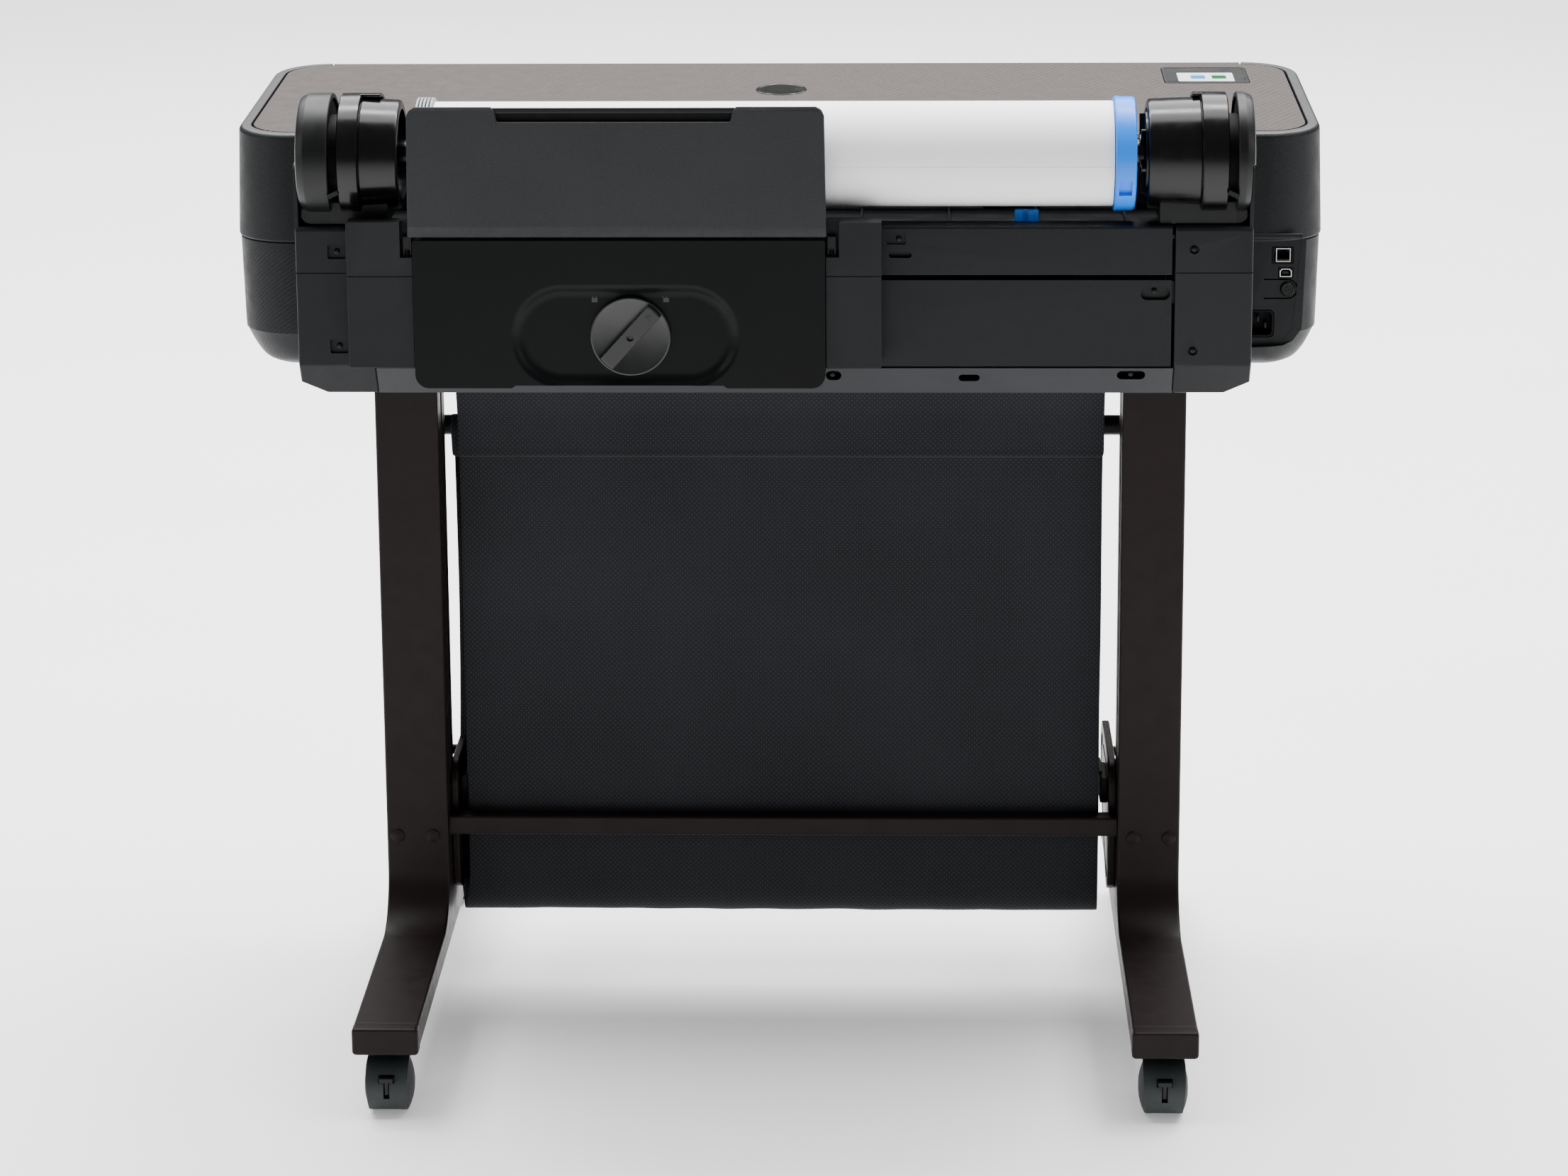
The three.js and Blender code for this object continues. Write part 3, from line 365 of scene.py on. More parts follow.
def casing_look():
    """Grained black casing, with fine slanted ribs on the lower half's +X end."""
    s = plastic("casing_grain", "121315", 0.5, grain=1.5, depth=0.22, fleck=0.6, Specular_IOR_Level=0.2)
    position = s.node("ShaderNodeSeparateXYZ", {0: s.place})
    low = s.remap(position.outputs[2], 0.7600, 0.7680, 1, 0)
    end = s.remap(position.outputs[0], 0.430, 0.445, 0, 1)
    ribs = s.ridges((0.45, -0.45, 0.75), 3.2)
    s.bump(s.math("MULTIPLY", ribs, s.math("MULTIPLY", low, end)), 0.16)
    return s.material


def fabric_look():
    """Black woven nylon: crossing threads, with paler floats on the diagonal."""
    s = Shader("basket_weave", 0.85, Specular_IOR_Level=0.15, Sheen_Weight=0.08, Sheen_Roughness=0.5)
    warp = s.ridges((1, 0, 0), 1.7)
    weft = s.ridges((0, 0, 1), 1.7)
    thread = s.math("MULTIPLY", warp, weft)
    floats = s.math("MULTIPLY", s.ridges((1, 0, 1), 3.4), s.ridges((1, 0, -1), 3.4))
    base = srgb("1b1c1f")
    fade = s.remap(s.noise(160, 3), 0.3, 0.7)
    cloth = s.mix(scaled(base, 0.85), scaled(base, 1.25), fade)
    cloth = s.mix(cloth, srgb("3a3d41"), s.math("MULTIPLY", s.remap(floats, 0.55, 0.9), 0.8))
    s.drive("Base Color", cloth)
    s.drive("Roughness", s.remap(thread, 0, 1, 0.92, 0.78))
    s.bump(thread, 0.18)
    s.bump(floats, 0.12)
    return s.material


def paper_look():
    s = Shader("coated_paper", 0.62)
    s.drive("Base Color", s.mix(srgb("f6f6fa"), srgb("fdfdff"), s.noise(70, 2)))
    s.drive("Roughness", s.remap(s.noise(6, 3), 0.3, 0.7, 0.55, 0.7))
    s.bump(s.noise(0.6, 2), 0.008)
    return s.material


def paper_end_look():
    """Wound layers at the roll's ends: fine rings about the roll's axis."""
    s = Shader("paper_layers", 0.85)
    position = s.node("ShaderNodeSeparateXYZ", {0: s.place})
    dy = s.math("SUBTRACT", position.outputs[1], ROLL_Y * MM)
    dz = s.math("SUBTRACT", position.outputs[2], ROLL_Z * MM)
    radius = s.math("SQRT", s.math("ADD", s.math("POWER", dy, 2.0), s.math("POWER", dz, 2.0)))
    rings = s.remap(s.math("SINE", s.math("MULTIPLY", radius, 2 * pi / (0.9 * MM))), -1, 1)
    s.drive("Base Color", s.mix(srgb("d9d9dc"), srgb("f6f6f6"), rings))
    s.bump(rings, 0.08)
    return s.material


def stand_look():
    """Dark brown satin paint on steel, with a fine orange peel."""
    s = plastic("stand_paint", "160f0e", 0.45, grain=2.2, depth=0.02, mottle=0.08, edge_wear_and_highlight=0.2,
                Specular_IOR_Level=0.12)
    s.bump(s.noise(6, 2), 0.03)
    return s.material


def brushed_black_look():
    """The feeder's black face, with faint level brush lines."""
    s = plastic("feeder_black", "090a0b", 0.36, grain=0.6, depth=0.012, mottle=0.08, Specular_IOR_Level=0.1)
    s.bump(s.noise(1.6, 2, (0.01, 1, 1)), 0.03)
    return s.material


def board_look():
    """Green solder mask with copper tracks and pale pads."""
    s = plastic("circuit_board", "1f5a3a", 0.35, grain=0.4, depth=0.01)
    tracks = s.math("MULTIPLY", s.ridges((1, 0, 0), 6.5), s.ridges((0, 0, 1), 4.0))
    old = s.surface.inputs["Base Color"].links[0].from_socket
    s.drive("Base Color", s.mix(old, srgb("3f8a5c"), s.remap(tracks, 0.5, 0.62)))
    s.bump(s.remap(tracks, 0.5, 0.62), 0.05)
    return s.material


def screen_look():
    s = plastic("display_glass", "e9eef2", 0.12, grain=0.3, depth=0.0, mottle=0.01, edge_wear_and_highlight=0.0, Coat_Weight=0.5)
    s.surface.inputs["Emission Color"].default_value = srgb("eaf2f6")
    s.surface.inputs["Emission Strength"].default_value = 0.35
    return s.material


def tile_look(name, colour):
    s = plastic(name, colour, 0.2, grain=0.4, depth=0.0, mottle=0.05, edge_wear_and_highlight=0.0)
    s.surface.inputs["Emission Color"].default_value = srgb(colour)
    s.surface.inputs["Emission Strength"].default_value = 0.15
    return s.material


ROLL_LOW, ROLL_HIGH = box_of("paper_roll")
ROLL_Y = (ROLL_LOW[1] + ROLL_HIGH[1]) / 2
ROLL_Z = (ROLL_LOW[2] + ROLL_HIGH[2]) / 2

LOOKS = {
    "casing": casing_look(),
    "dark_plastic": plastic("dark_plastic", "0c0d0e", 0.38, grain=0.8, depth=0.02,
                            Specular_IOR_Level=0.25).material,
    "satin_black": plastic("satin_black", "050506", 0.2, grain=1.2, depth=0.004, mottle=0.05, edge_wear_and_highlight=0.1,
                           Specular_IOR_Level=0.32).material,
    "taupe_panel": taupe_look(),
    "screen": screen_look(),
    "grey_plastic": plastic("grey_plastic", "85888c", 0.42, grain=0.7, depth=0.02).material,
    "bottom_grey": plastic("bottom_grey", "232427", 0.5, grain=0.9, depth=0.04,
                           Specular_IOR_Level=0.3).material,
    "blue_plastic": plastic("blue_plastic", "007cf2", 0.3, grain=1.5, depth=0.008, mottle=0.03, fleck=0.03,
                            edge_wear_and_highlight=0.1, Specular_IOR_Level=0.35).material,
    "paper": paper_look(),
    "steel": metal("sheet_steel", "a5a7aa", 0.34, (0.05, 1, 1)),
    "board": board_look(),
    "stand_paint": stand_look(),
    "cloth": fabric_look(),
    "rubber": plastic("rubber", "191b1c", 0.72, grain=0.8, depth=0.05, mottle=0.12).material,
}
FLAP_LOOK = plastic("flap_grey", "1f2022", 0.5, grain=1.2, depth=0.09, fleck=0.35,
                    Specular_IOR_Level=0.26).material
FEEDER_LOOK = brushed_black_look()
# The strong edge lightening here is mostly a painted highlight along the panels' edges.
MODULE_LOOK = plastic("module_black", "131416", 0.46, grain=0.9, depth=0.06, mottle=0.08, edge_wear_and_highlight=0.6,
                      Specular_IOR_Level=0.18).material
HOOD_LOOK = plastic("caster_grain", "232829", 0.55, grain=1.0, depth=0.22, fleck=0.4,
                    Specular_IOR_Level=0.35).material
RIM_LOOK = plastic("rim_grain", "232426", 0.5, grain=0.9, depth=0.10, mottle=0.2).material
SHINE = metal("bright_steel", "c2c4c8", 0.25)
SCREW = metal("screw_black", "2a2b2d", 0.3)
KNOB_LOOK = plastic("knob_black", "101112", 0.3, grain=1.0, depth=0.006, Specular_IOR_Level=0.5).material
# Near-black plastic: the sockets' own black housings, and painted shade inside openings, hollows and slots.
BLACK_AND_PAINTED_SHADE = plastic("socket_black_and_painted_shade", "060606", 0.6, Specular_IOR_Level=0.15).material
PAPER_END = paper_end_look()
THREAD = plastic("thread", "121315", 0.85, grain=0.3, depth=0.03, Specular_IOR_Level=0.15).material


# ---- Camera, light and floor ------------------------------------------------------------------

def make_camera():
    """The viewpoint: behind the machine, a little above the top and left of the middle."""
    yaw, pitch, tilt = radians(-1.65), radians(12.95), radians(-0.36)
    ahead = Vector((-sin(yaw) * cos(pitch), -cos(yaw) * cos(pitch), -sin(pitch)))
    across = ahead.cross(Vector((0, 0, 1))).normalized()
    above = across.cross(ahead)
    right = across * cos(tilt) + above * sin(tilt)
    up = above * cos(tilt) - across * sin(tilt)
    lens = bpy.data.cameras.new("camera")
    lens.sensor_width = 36
    lens.lens = 94.17
    lens.shift_y = -0.149
    camera = bpy.data.objects.new("camera", lens)
    place = Vector((-0.11326, 3.7867, 1.51966))
    camera.matrix_world = Matrix((*zip(right, up, -ahead, place), (0, 0, 0, 1)))
    scene.collection.objects.link(camera)
    scene.camera = camera


def make_lamp(name, place, target, size, power):
    lamp = bpy.data.lights.new(name, "AREA")
    lamp.shape = "RECTANGLE"
    lamp.size, lamp.size_y = size
    lamp.energy = power
    made = bpy.data.objects.new(name, lamp)
    made.location = place
    made.rotation_euler = (Vector(target) - Vector(place)).to_track_quat("-Z", "Y").to_euler()
    scene.collection.objects.link(made)


def make_studio():
    world = bpy.data.worlds.new("studio")
    scene.world = world
    world.use_nodes = True
    world.node_tree.nodes["Background"].inputs[0].default_value = (1, 1, 1, 1)
    world.node_tree.nodes["Background"].inputs[1].default_value = 0.2
    make_lamp("overhead", (0, -3.0, 5.2), (0, -3.0, 0), (9.0, 8.0), 1750)
    make_lamp("strip", (0, -0.7, 3.7), (0, 0.15, 0.87), (3.4, 0.5), 130)
    make_lamp("left_panel", (-3.2, 1.6, 1.9), (0, 0, 0.7), (0.7, 1.8), 20)
    make_lamp("right_panel", (3.2, 1.6, 1.9), (0, 0, 0.7), (0.7, 1.8), 20)
    paint = Shader("pale_floor", 0.8)
    paint.drive("Base Color", paint.mix(srgb("f4f4f4"), srgb("fbfbfb"), paint.noise(400, 2)))
    floor = to_object("floor", prism(arc(0, 0, 14000, 0, 360 - 360 / 64, 63), "z", -20, -0.3))
    paint.surface.inputs["Emission Color"].default_value = (1, 1, 1, 1)
    paint.surface.inputs["Emission Strength"].default_value = 0.28
    floor.data.materials.append(paint.material)


# ---- Small repeated details -------------------------------------------------------------------

def screw(axis, along, out, u, v, r=3.0):
    """A domed screw head with a cross slot. out is the way that the head faces along its axis."""
    head = lathe([(along - out * 2.5, 0), (along - out * 2.5, r), (along, r),
                  (along + out * r * 0.22, r * 0.86),
                  (along + out * r * 0.36, r * 0.5), (along + out * r * 0.4, 0)], axis, u, v, 32)
    w, h = r * 0.14, r * 0.6
    a, b = sorted((along + out * r * 0.1, along + out * r))
    slots = [prism([(u - p, v - q), (u + p, v - q), (u + p, v + q), (u - p, v + q)], axis, a, b)
             for p, q in ((w, h), (h, w))]
    return boolean(head, slots)


# ---- Main casing ------------------------------------------------------------------------------

CASE_LOW, CASE_HIGH = box_of("upper_casing")
LOWER_LOW, LOWER_HIGH = box_of("lower_casing")
CASE_X = CASE_HIGH[0]
CASE_REAR = CASE_HIGH[1]
CASE_FRONT = CASE_LOW[1]
CORNER = 55
RISE = tan(radians(3))
TOP_REAR = CASE_HIGH[2] - (CASE_REAR - CASE_FRONT) * RISE
SEAM_Z = CASE_LOW[2]
LID_INSET = 16.5
RIM_INSET = 14.5
LID_HALF = 450
LID_TAPER = 3.0
MODULE_X = 430.3


def top_at(y):
    return TOP_REAR + (CASE_REAR - y) * RISE


def plan_ring(inset, steps=12):
    """The casing's plan, pulled in by inset: it starts at the rear edge's +X end and runs round."""
    r = max(CORNER - inset, 6)
    x = CASE_X - inset - r
    low, high = CASE_FRONT + inset + r, CASE_REAR - inset - r
    corners = ((x, high, 0), (-x, high, 90), (-x, low, 180), (x, low, 270))
    return [p for cx, cy, a in corners for p in arc(cx, cy, r, a, a + 90, steps)]


def level_ring(inset, z):
    return [(x, y, z) for x, y in plan_ring(inset)]


def top_ring(inset, drop):
    """A ring on the sloped top, lowered by drop."""
    return [(x, y, top_at(y) - drop) for x, y in plan_ring(inset)]


def upper_casing():
    round_r = 5
    rings = [level_ring(0.9, SEAM_Z), level_ring(0.2, SEAM_Z + 0.9), level_ring(0, SEAM_Z + 2)]
    rings += [top_ring(LID_TAPER + round_r * (1 - cos(a)), round_r * (1 - sin(a)))
              for a in (i * pi / 12 for i in range(7))]
    rings += [top_ring(RIM_INSET - 1, 0), top_ring(RIM_INSET - 0.3, 0.3), top_ring(RIM_INSET, 1),
              top_ring(RIM_INSET, 8), top_ring(6.5, 8), level_ring(3, SEAM_Z)]
    shell = loft(rings, capped=False)
    cuts = [
        block(-LID_HALF - 2, LID_HALF + 2, CASE_FRONT - 10, CASE_FRONT + 18, 868.5, 900),
        prism(rounded(-332, 332, SEAM_Z - 20, 800, 8), "y", CASE_FRONT - 10, CASE_FRONT + 10),
        block(-MODULE_X, MODULE_X, 40, 80, SEAM_Z - 5, 806),
    ]
    shell = boolean(shell, cuts)
    for face in shell.faces:
        middle = face.calc_center_median()
        face.material_index = int(face.normal.z > 0.8 and middle.z > top_at(middle.y) - 3)
    casing = piece("upper_casing_shell", shell, BODY, "casing", replaces="upper_casing", edge=0.4)
    casing.data.materials.append(RIM_LOOK)
    bar = prism(rounded(CASE_REAR - 3, CASE_REAR + 1.6, SEAM_Z + 2.5, SEAM_Z + 8, 2.2), "x", -485,
                -MODULE_X - 1)
    piece("socket_brow", bar, BODY, "casing")


def catmull(points, steps):
    """A smooth run through 2-D points."""
    padded = [points[0], *points, points[-1]]
    out = []
    for p0, p1, p2, p3 in zip(padded, padded[1:], padded[2:], padded[3:]):
        for i in range(steps):
            t = i / steps
            out.append(tuple(0.5 * (2 * b + (c - a) * t + (2 * a - 5 * b + 4 * c - d) * t * t
                                    + (3 * b - a - 3 * c + d) * t ** 3) for a, b, c,
                             d in zip(p0, p1, p2, p3)))
    return [*out, points[-1]]


SOCKET_FACE = 48
BUTTON_LOW, BUTTON_HIGH = box_of("power_button")
BUTTON_X = (BUTTON_LOW[0] + BUTTON_HIGH[0]) / 2
BUTTON_Z = (BUTTON_LOW[2] + BUTTON_HIGH[2]) / 2
DOOR_LOW, DOOR_HIGH = box_of("cartridge_door")


def socket_hole(node, grow=0.4, r=1.0):
    low, high = box_of(node)
    return prism(rounded(low[0] - grow, high[0] + grow, low[2] - grow, high[2] + grow, r), "y", 20, 60)


def lower_skin():
    """Rings of the lower casing's outside, from its floor up to the seam."""
    top, floor = LOWER_HIGH[2], LOWER_LOW[2]
    sweep = catmull([(floor, 56), (floor + 1, 42), (floor + 4, 31), (floor + 9, 21.5), (floor + 20, 13),
                     (floor + 36, 5), (floor + 41, 3.6), (floor + 80, 2.6), (top - 1, 1.5)], 3)
    return [level_ring(inset, z) for z, inset in sweep] + [level_ring(2.3, top)]


def lower_casing():
    top, floor = LOWER_HIGH[2], LOWER_LOW[2]
    rings = lower_skin()
    rings += [level_ring(inset, z) for z, inset in
              ((top, 4.5), (684, 9), (668, 16), (656, 26), (floor + 4, 40))]
    shell = loft(rings)
    cuts = [
        block(-MODULE_X, MODULE_X, 30, 80, 655, top + 5),
        block(DOOR_LOW[0] - 0.8, DOOR_HIGH[0] + 0.8, CASE_FRONT - 10, CASE_FRONT + 12, DOOR_LOW[2] - 0.8,
              DOOR_HIGH[2] + 0.8),
        prism([(-428, top + 5), (-428, 667), (-470, 669), (-482, 674), (-491, 692), (-492, top + 5)], "y",
              SOCKET_FACE, 80),
    ]
    piece("lower_casing_shell", boolean(shell, cuts), BODY, "casing", replaces="lower_casing", edge=0.5)
    plate = prism([(-494, 664), (-425, 664), (-425, top - 1), (-494, top - 1)], "y", SOCKET_FACE - 4,
                  SOCKET_FACE - 0.4)
    solid = loft(lower_skin())
    bmesh.ops.scale(solid, vec=(0.996, 0.99, 1), verts=solid.verts)
    plate = boolean(plate, [solid], "INTERSECT")
    ring = rod("y", 9.6, 20, 60, BUTTON_X, BUTTON_Z)
    ring = boolean(ring, [rod("y", 8.3, 19, 61, BUTTON_X, BUTTON_Z)])
    half = block(BUTTON_X - 20, BUTTON_X + 2, 19, 61, BUTTON_Z - 12, BUTTON_Z + 12)
    ring = boolean(ring, [half], "INTERSECT")
    arms = [block(BUTTON_X + 1, BUTTON_X + 22, 20, 60, BUTTON_Z + d - 0.65, BUTTON_Z + d + 0.65)
            for d in (-8.95, 8.95)]
    holes = [socket_hole("ethernet_socket"), socket_hole("usb_socket"), socket_hole("power_inlet", 0.6, 5),
             rod("y", 7.1, 20, 60, BUTTON_X, BUTTON_Z), ring, *arms]
    side_wall = block(-430.2, -428.4, SOCKET_FACE - 4, 65.5, 660, top - 1, 0.3)
    piece("socket_side_wall", side_wall, BODY, "casing", look=MODULE_LOOK)
    piece("socket_plate", boolean(plate, holes), BODY, "casing", look=MODULE_LOOK, edge=0.25)
    shelf = block(-496, DOOR_HIGH[0] + 8, CASE_FRONT + 10, -125, 680, 682.9, 0.4)
    post = block(DOOR_HIGH[0] + 4, DOOR_HIGH[0] + 7, -180, -140, 649.5, 680, 0.3)
    piece("ink_shelf", merge(shelf, post), BODY, "casing")


def on_top(bm):
    """Shears a plan mesh, drawn with z = 0 as the top, onto the casing's sloped top."""
    for v in bm.verts:
        v.co.z += top_at(v.co.y)
    return bm


def top_lid():
    ring = plan_ring(LID_INSET)
    front = min(y for _, y in ring)
    nose = CASE_FRONT + 3.5
    quarter = 3 * len(ring) // 4
    front_edge = [(-LID_HALF, front), (-LID_HALF, nose + 8), (LID_HALF, nose + 8), (LID_HALF, front)]
    outline = [*ring[:quarter], *front_edge, *ring[quarter:]]
    plate = on_top(prism(outline, "z", -5, 0, bevel=0.8))
    lip = [(nose + 10, TOP_REAR), (nose + 10, TOP_REAR - 5), (nose + 5, TOP_REAR - 5),
           (nose + 3.5, TOP_REAR - 6),
           (nose + 3.5, TOP_REAR - 18), (nose, TOP_REAR - 18), *arc(nose + 6, TOP_REAR - 6, 6, 180, 90)]
    lip = prism(lip, "x", -LID_HALF + 0.1, LID_HALF - 0.1)
    for v in lip.verts:
        v.co.z += (CASE_REAR - v.co.y) * RISE
    low, high = box_of("display_bezel")
    well = on_top(prism(rounded(low[0] - 0.6, high[0] + 0.6, low[1] - 0.6, high[1] + 0.6, 5.5), "z", -3, 6))
    lid = boolean(boolean(plate, [lip], "UNION"), [well])
    piece("lid_panel", lid, "lid", "taupe_panel", replaces="top_lid")
    badge_y = -129
    badge = lathe([(-0.5, 0), (-0.5, 24.5), (0.5, 24.5), (0.9, 24), (0.9, 22.6), (0.6, 22.2), (0.6, 0)], "z",
                  0.5, badge_y, 72)
    piece("lid_badge", on_top(badge), "lid", "satin_black")


def display():
    low, high = box_of("display_bezel")
    glass_low, glass_high = box_of("display_screen")
    bezel = on_top(prism(rounded(low[0], high[0], low[1], high[1], 5), "z", -2.7, 0.6, bevel=0.5))
    window = on_top(prism(rounded(glass_low[0] - 0.3, glass_high[0] + 0.3, glass_low[1] - 0.3,
                                  glass_high[1] + 0.3, 2), "z", -0.8, 5))
    line = on_top(boolean(prism(rounded(low[0] + 3, high[0] - 3, low[1] + 3, high[1] - 3, 4), "z", 0.3, 2),
                          [prism(rounded(low[0] + 3.9, high[0] - 3.9, low[1] + 3.9, high[1] - 3.9, 3.6), "z",
                                 0, 3)]))
    piece("display_frame", boolean(bezel, [window, line]), "lid", "dark_plastic", replaces="display_bezel")
    glass = on_top(prism(rounded(glass_low[0], glass_high[0], glass_low[1], glass_high[1], 1.8), "z", -0.7,
                         0.15, bevel=0.15))
    piece("display_panel", glass, "lid", "screen", replaces="display_screen")
    middle = (glass_low[0] + glass_high[0]) / 2
    tiles = ((middle + 7.5, "tile_blue", "1878b8"), (middle - 13, "tile_green", "06582a"))
    for x, name, colour in tiles:
        y = glass_low[1] + 20
        tile = on_top(prism(rounded(x - 7, x + 7, y - 7, y + 8, 1.2), "z", 0.1, 0.28, bevel=0.05))
        piece(name, tile, "lid", "screen", look=tile_look(name, colour))
        bar = on_top(prism(rounded(x - 5, x + 5, y - 12.5, y - 10.5, 0.7), "z", 0.1, 0.24))
        piece(name + "_caption_bar", bar, "lid", "screen", look=LOOKS["grey_plastic"])


def sockets():
    """Fine parts of the sockets: contacts, tongue, blades and the power key's rings."""
    low, high = box_of("ethernet_socket")
    face = SOCKET_FACE - 0.3
    shell = prism(rounded(low[0], high[0], low[2], high[2], 0.8), "y", 29, face, bevel=0.3)
    liner = boolean(block(low[0] + 2.6, high[0] - 3.4, face - 1.2, face + 0.25, low[2] + 1.6, high[2] - 1.2),
                    [block(low[0] + 3.3, high[0] - 4.1, face - 3, face + 3, low[2] + 2.3, high[2] - 1.9)])
    piece("ethernet_liner", liner, BODY, "steel", look=SHINE)
    mouth = prism([(low[0] + 1.8, low[2] + 2), (high[0] - 1.8, low[2] + 2), (high[0] - 1.8, high[2] - 4.5),
                   (high[0] - 5.5, high[2] - 4.5), (high[0] - 5.5, high[2] - 2.8),
                   (high[0] - 7.5, high[2] - 2.8),
                   (high[0] - 7.5, high[2] - 1.6), (low[0] + 7.5, high[2] - 1.6),
                   (low[0] + 7.5, high[2] - 2.8),
                   (low[0] + 5.5, high[2] - 2.8), (low[0] + 5.5, high[2] - 4.5),
                   (low[0] + 1.8, high[2] - 4.5)],
                  "y", 33, 60)
    # The shell is near-black: the housing's own black, and painted shade inside its mouth.
    piece("ethernet_shell", boolean(shell, [mouth]), BODY, "steel", look=BLACK_AND_PAINTED_SHADE, replaces="ethernet_socket")
    pins = [block(low[0] + 4 + i * 1.5, low[0] + 4.5 + i * 1.5, 33.2, 45, low[2] + 2.4, low[2] + 3.2)
            for i in range(8)]
    piece("ethernet_contacts", merge(*pins), BODY, "steel", look=metal("contact_gold", "c9a45a", 0.3))
    low, high = box_of("usb_socket")
    shell = prism(rounded(low[0], high[0], low[2], high[2], 0.6), "y", 29, face, bevel=0.25)
    u0, u1, v0, v1 = low[0] + 1.2, high[0] - 1.2, low[2] + 1.1, high[2] - 1.1
    liner = [(u0, v0), (u1, v0), (u1, v1 - 2), (u1 - 2, v1), (u0 + 2, v1), (u0, v1 - 2)]
    mouth = prism(liner, "y", 33, 60)
    shell = boolean(shell, [mouth])
    tongue = block(u0 + 2.6, u1 - 2.6, 32.8, 46, v0 + 2.6, v1 - 2.6, 0.2)
    # The shell is near-black: the housing's own black, and painted shade inside its mouth.
    piece("usb_shell", shell, BODY, "steel", look=BLACK_AND_PAINTED_SHADE, replaces="usb_socket")
    cx, cz = (u0 + u1) / 2, (v0 + v1) / 2
    hole = prism([(cx + (u - cx) * 0.86, cz + (v - cz) * 0.84) for u, v in liner], "y", 30, 60)
    piece("usb_liner", boolean(prism(liner, "y", face - 1, face + 0.2), [hole]), BODY, "steel", look=SHINE)
    piece("usb_tongue", tongue, BODY, "dark_plastic")
    low, high = box_of("power_inlet")
    shell = prism(rounded(low[0], high[0], low[2], high[2], 5), "y", 29, face, bevel=0.4)
    well = prism(rounded(low[0] + 1.6, high[0] - 1.6, low[2] + 1.6, high[2] - 1.6, 4), "y", 33, 60)
    # The shell is near-black: the housing's own black, and painted shade inside its well.
    piece("inlet_shell", boolean(shell, [well]), BODY, "dark_plastic", look=BLACK_AND_PAINTED_SHADE, replaces="power_inlet")
    cx = (low[0] + high[0]) / 2
    blades = [block(cx + dx - 0.9, cx + dx + 0.9, 32.5, 43, z, z + 5, 0.3)
              for dx, z in ((-7, 684), (0, 690), (7, 684))]
    piece("inlet_blades", merge(*blades), BODY, "steel", look=SCREW)
    front = BUTTON_HIGH[1]
    r = (BUTTON_HIGH[0] - BUTTON_LOW[0]) / 2
    key = lathe([(front - 8, 0), (front - 8, r), (front - 0.8, r), (front, r - 0.8), (front, r - 1.8),
                 (front - 0.6, r - 2.3), (front - 0.6, 2.6), (front - 0.2, 2.2), (front - 0.2, 1.4),
                 (front - 0.7, 1.0), (front - 0.7, 0)], "y", BUTTON_X, BUTTON_Z, 64)
    piece("power_key", key, "power_button", "dark_plastic", replaces="power_button")


def cartridge_door():
    low, high = DOOR_LOW, DOOR_HIGH
    plate = prism(rounded(low[0], high[0], low[2], high[2], 3), "y", low[1], high[1], bevel=0.6)
    cx = (low[0] + high[0]) / 2
    dish = prism(rounded(cx - 15, cx + 15, high[2] - 11, high[2] - 4, 3.4), "y", low[1] - 1, low[1] + 1.6)
    plate = boolean(boolean(plate, [dish]), [loft(lower_skin())], "INTERSECT")
    piece("cartridge_door_panel", plate, "cartridge_door", "casing", replaces="cartridge_door", edge=0.2)


# ---- Rear module ------------------------------------------------------------------------------

PANEL_LOW, PANEL_HIGH = box_of("rear_lower_panel")
UPPER_LOW, UPPER_HIGH = box_of("rear_upper_panel")
REAR = PANEL_HIGH[1]
MODULE_LOW = box_of("rear_chassis")[0][2]
PANEL_TOP = UPPER_HIGH[2]
PANEL_SEAM_Z = 766


def oval(x0, x1, z0, z1):
    """A cutter for a slot with round ends in the rear panels."""
    return prism(rounded(x0, x1, z0, z1, (z1 - z0) / 2 - 0.05, 8), "y", REAR - 6, REAR + 6)


def rear_panels():
    lower = prism(rounded(PANEL_LOW[0], PANEL_HIGH[0], PANEL_LOW[2], PANEL_HIGH[2], 1), "y", REAR - 4, REAR,
                  bevel=0.5)
    lower = boolean(lower, [oval(-356, -329.5, 741, 753)])
    piece("rear_lower_cover", lower, BODY, "casing", look=MODULE_LOOK, replaces="rear_lower_panel")
    z0, z1 = UPPER_LOW[2], UPPER_HIGH[2]
    profile = [(REAR - 4, z0), (REAR, z0), (REAR, z1 - 3), *arc(REAR - 2.5, z1 - 2.5, 2.5, 0, 90, 5),
               (REAR - 26, z1), (REAR - 26, z1 - 3), (REAR - 4, z1 - 3)]
    upper = prism(profile, "x", UPPER_LOW[0], UPPER_HIGH[0], bevel=0.4)
    cuts = [
        prism(rounded(-119, -102, 792, 803, 1.5), "y", REAR - 2, REAR + 5),
        oval(-124.5, -104, 779.7, 785),
    ]
    piece("rear_upper_cover", boolean(upper, cuts), BODY, "casing", look=MODULE_LOOK,
          replaces="rear_upper_panel")
    backs = [block(x0, x1, REAR - 9, REAR - 6, z0, z1) for x0, x1, z0, z1 in
             ((-360, -325, 737, 757), (-128, -100, 776, 806))]
    piece("hole_backs", merge(*backs), BODY, "bottom_grey", look=LOOKS["dark_plastic"])


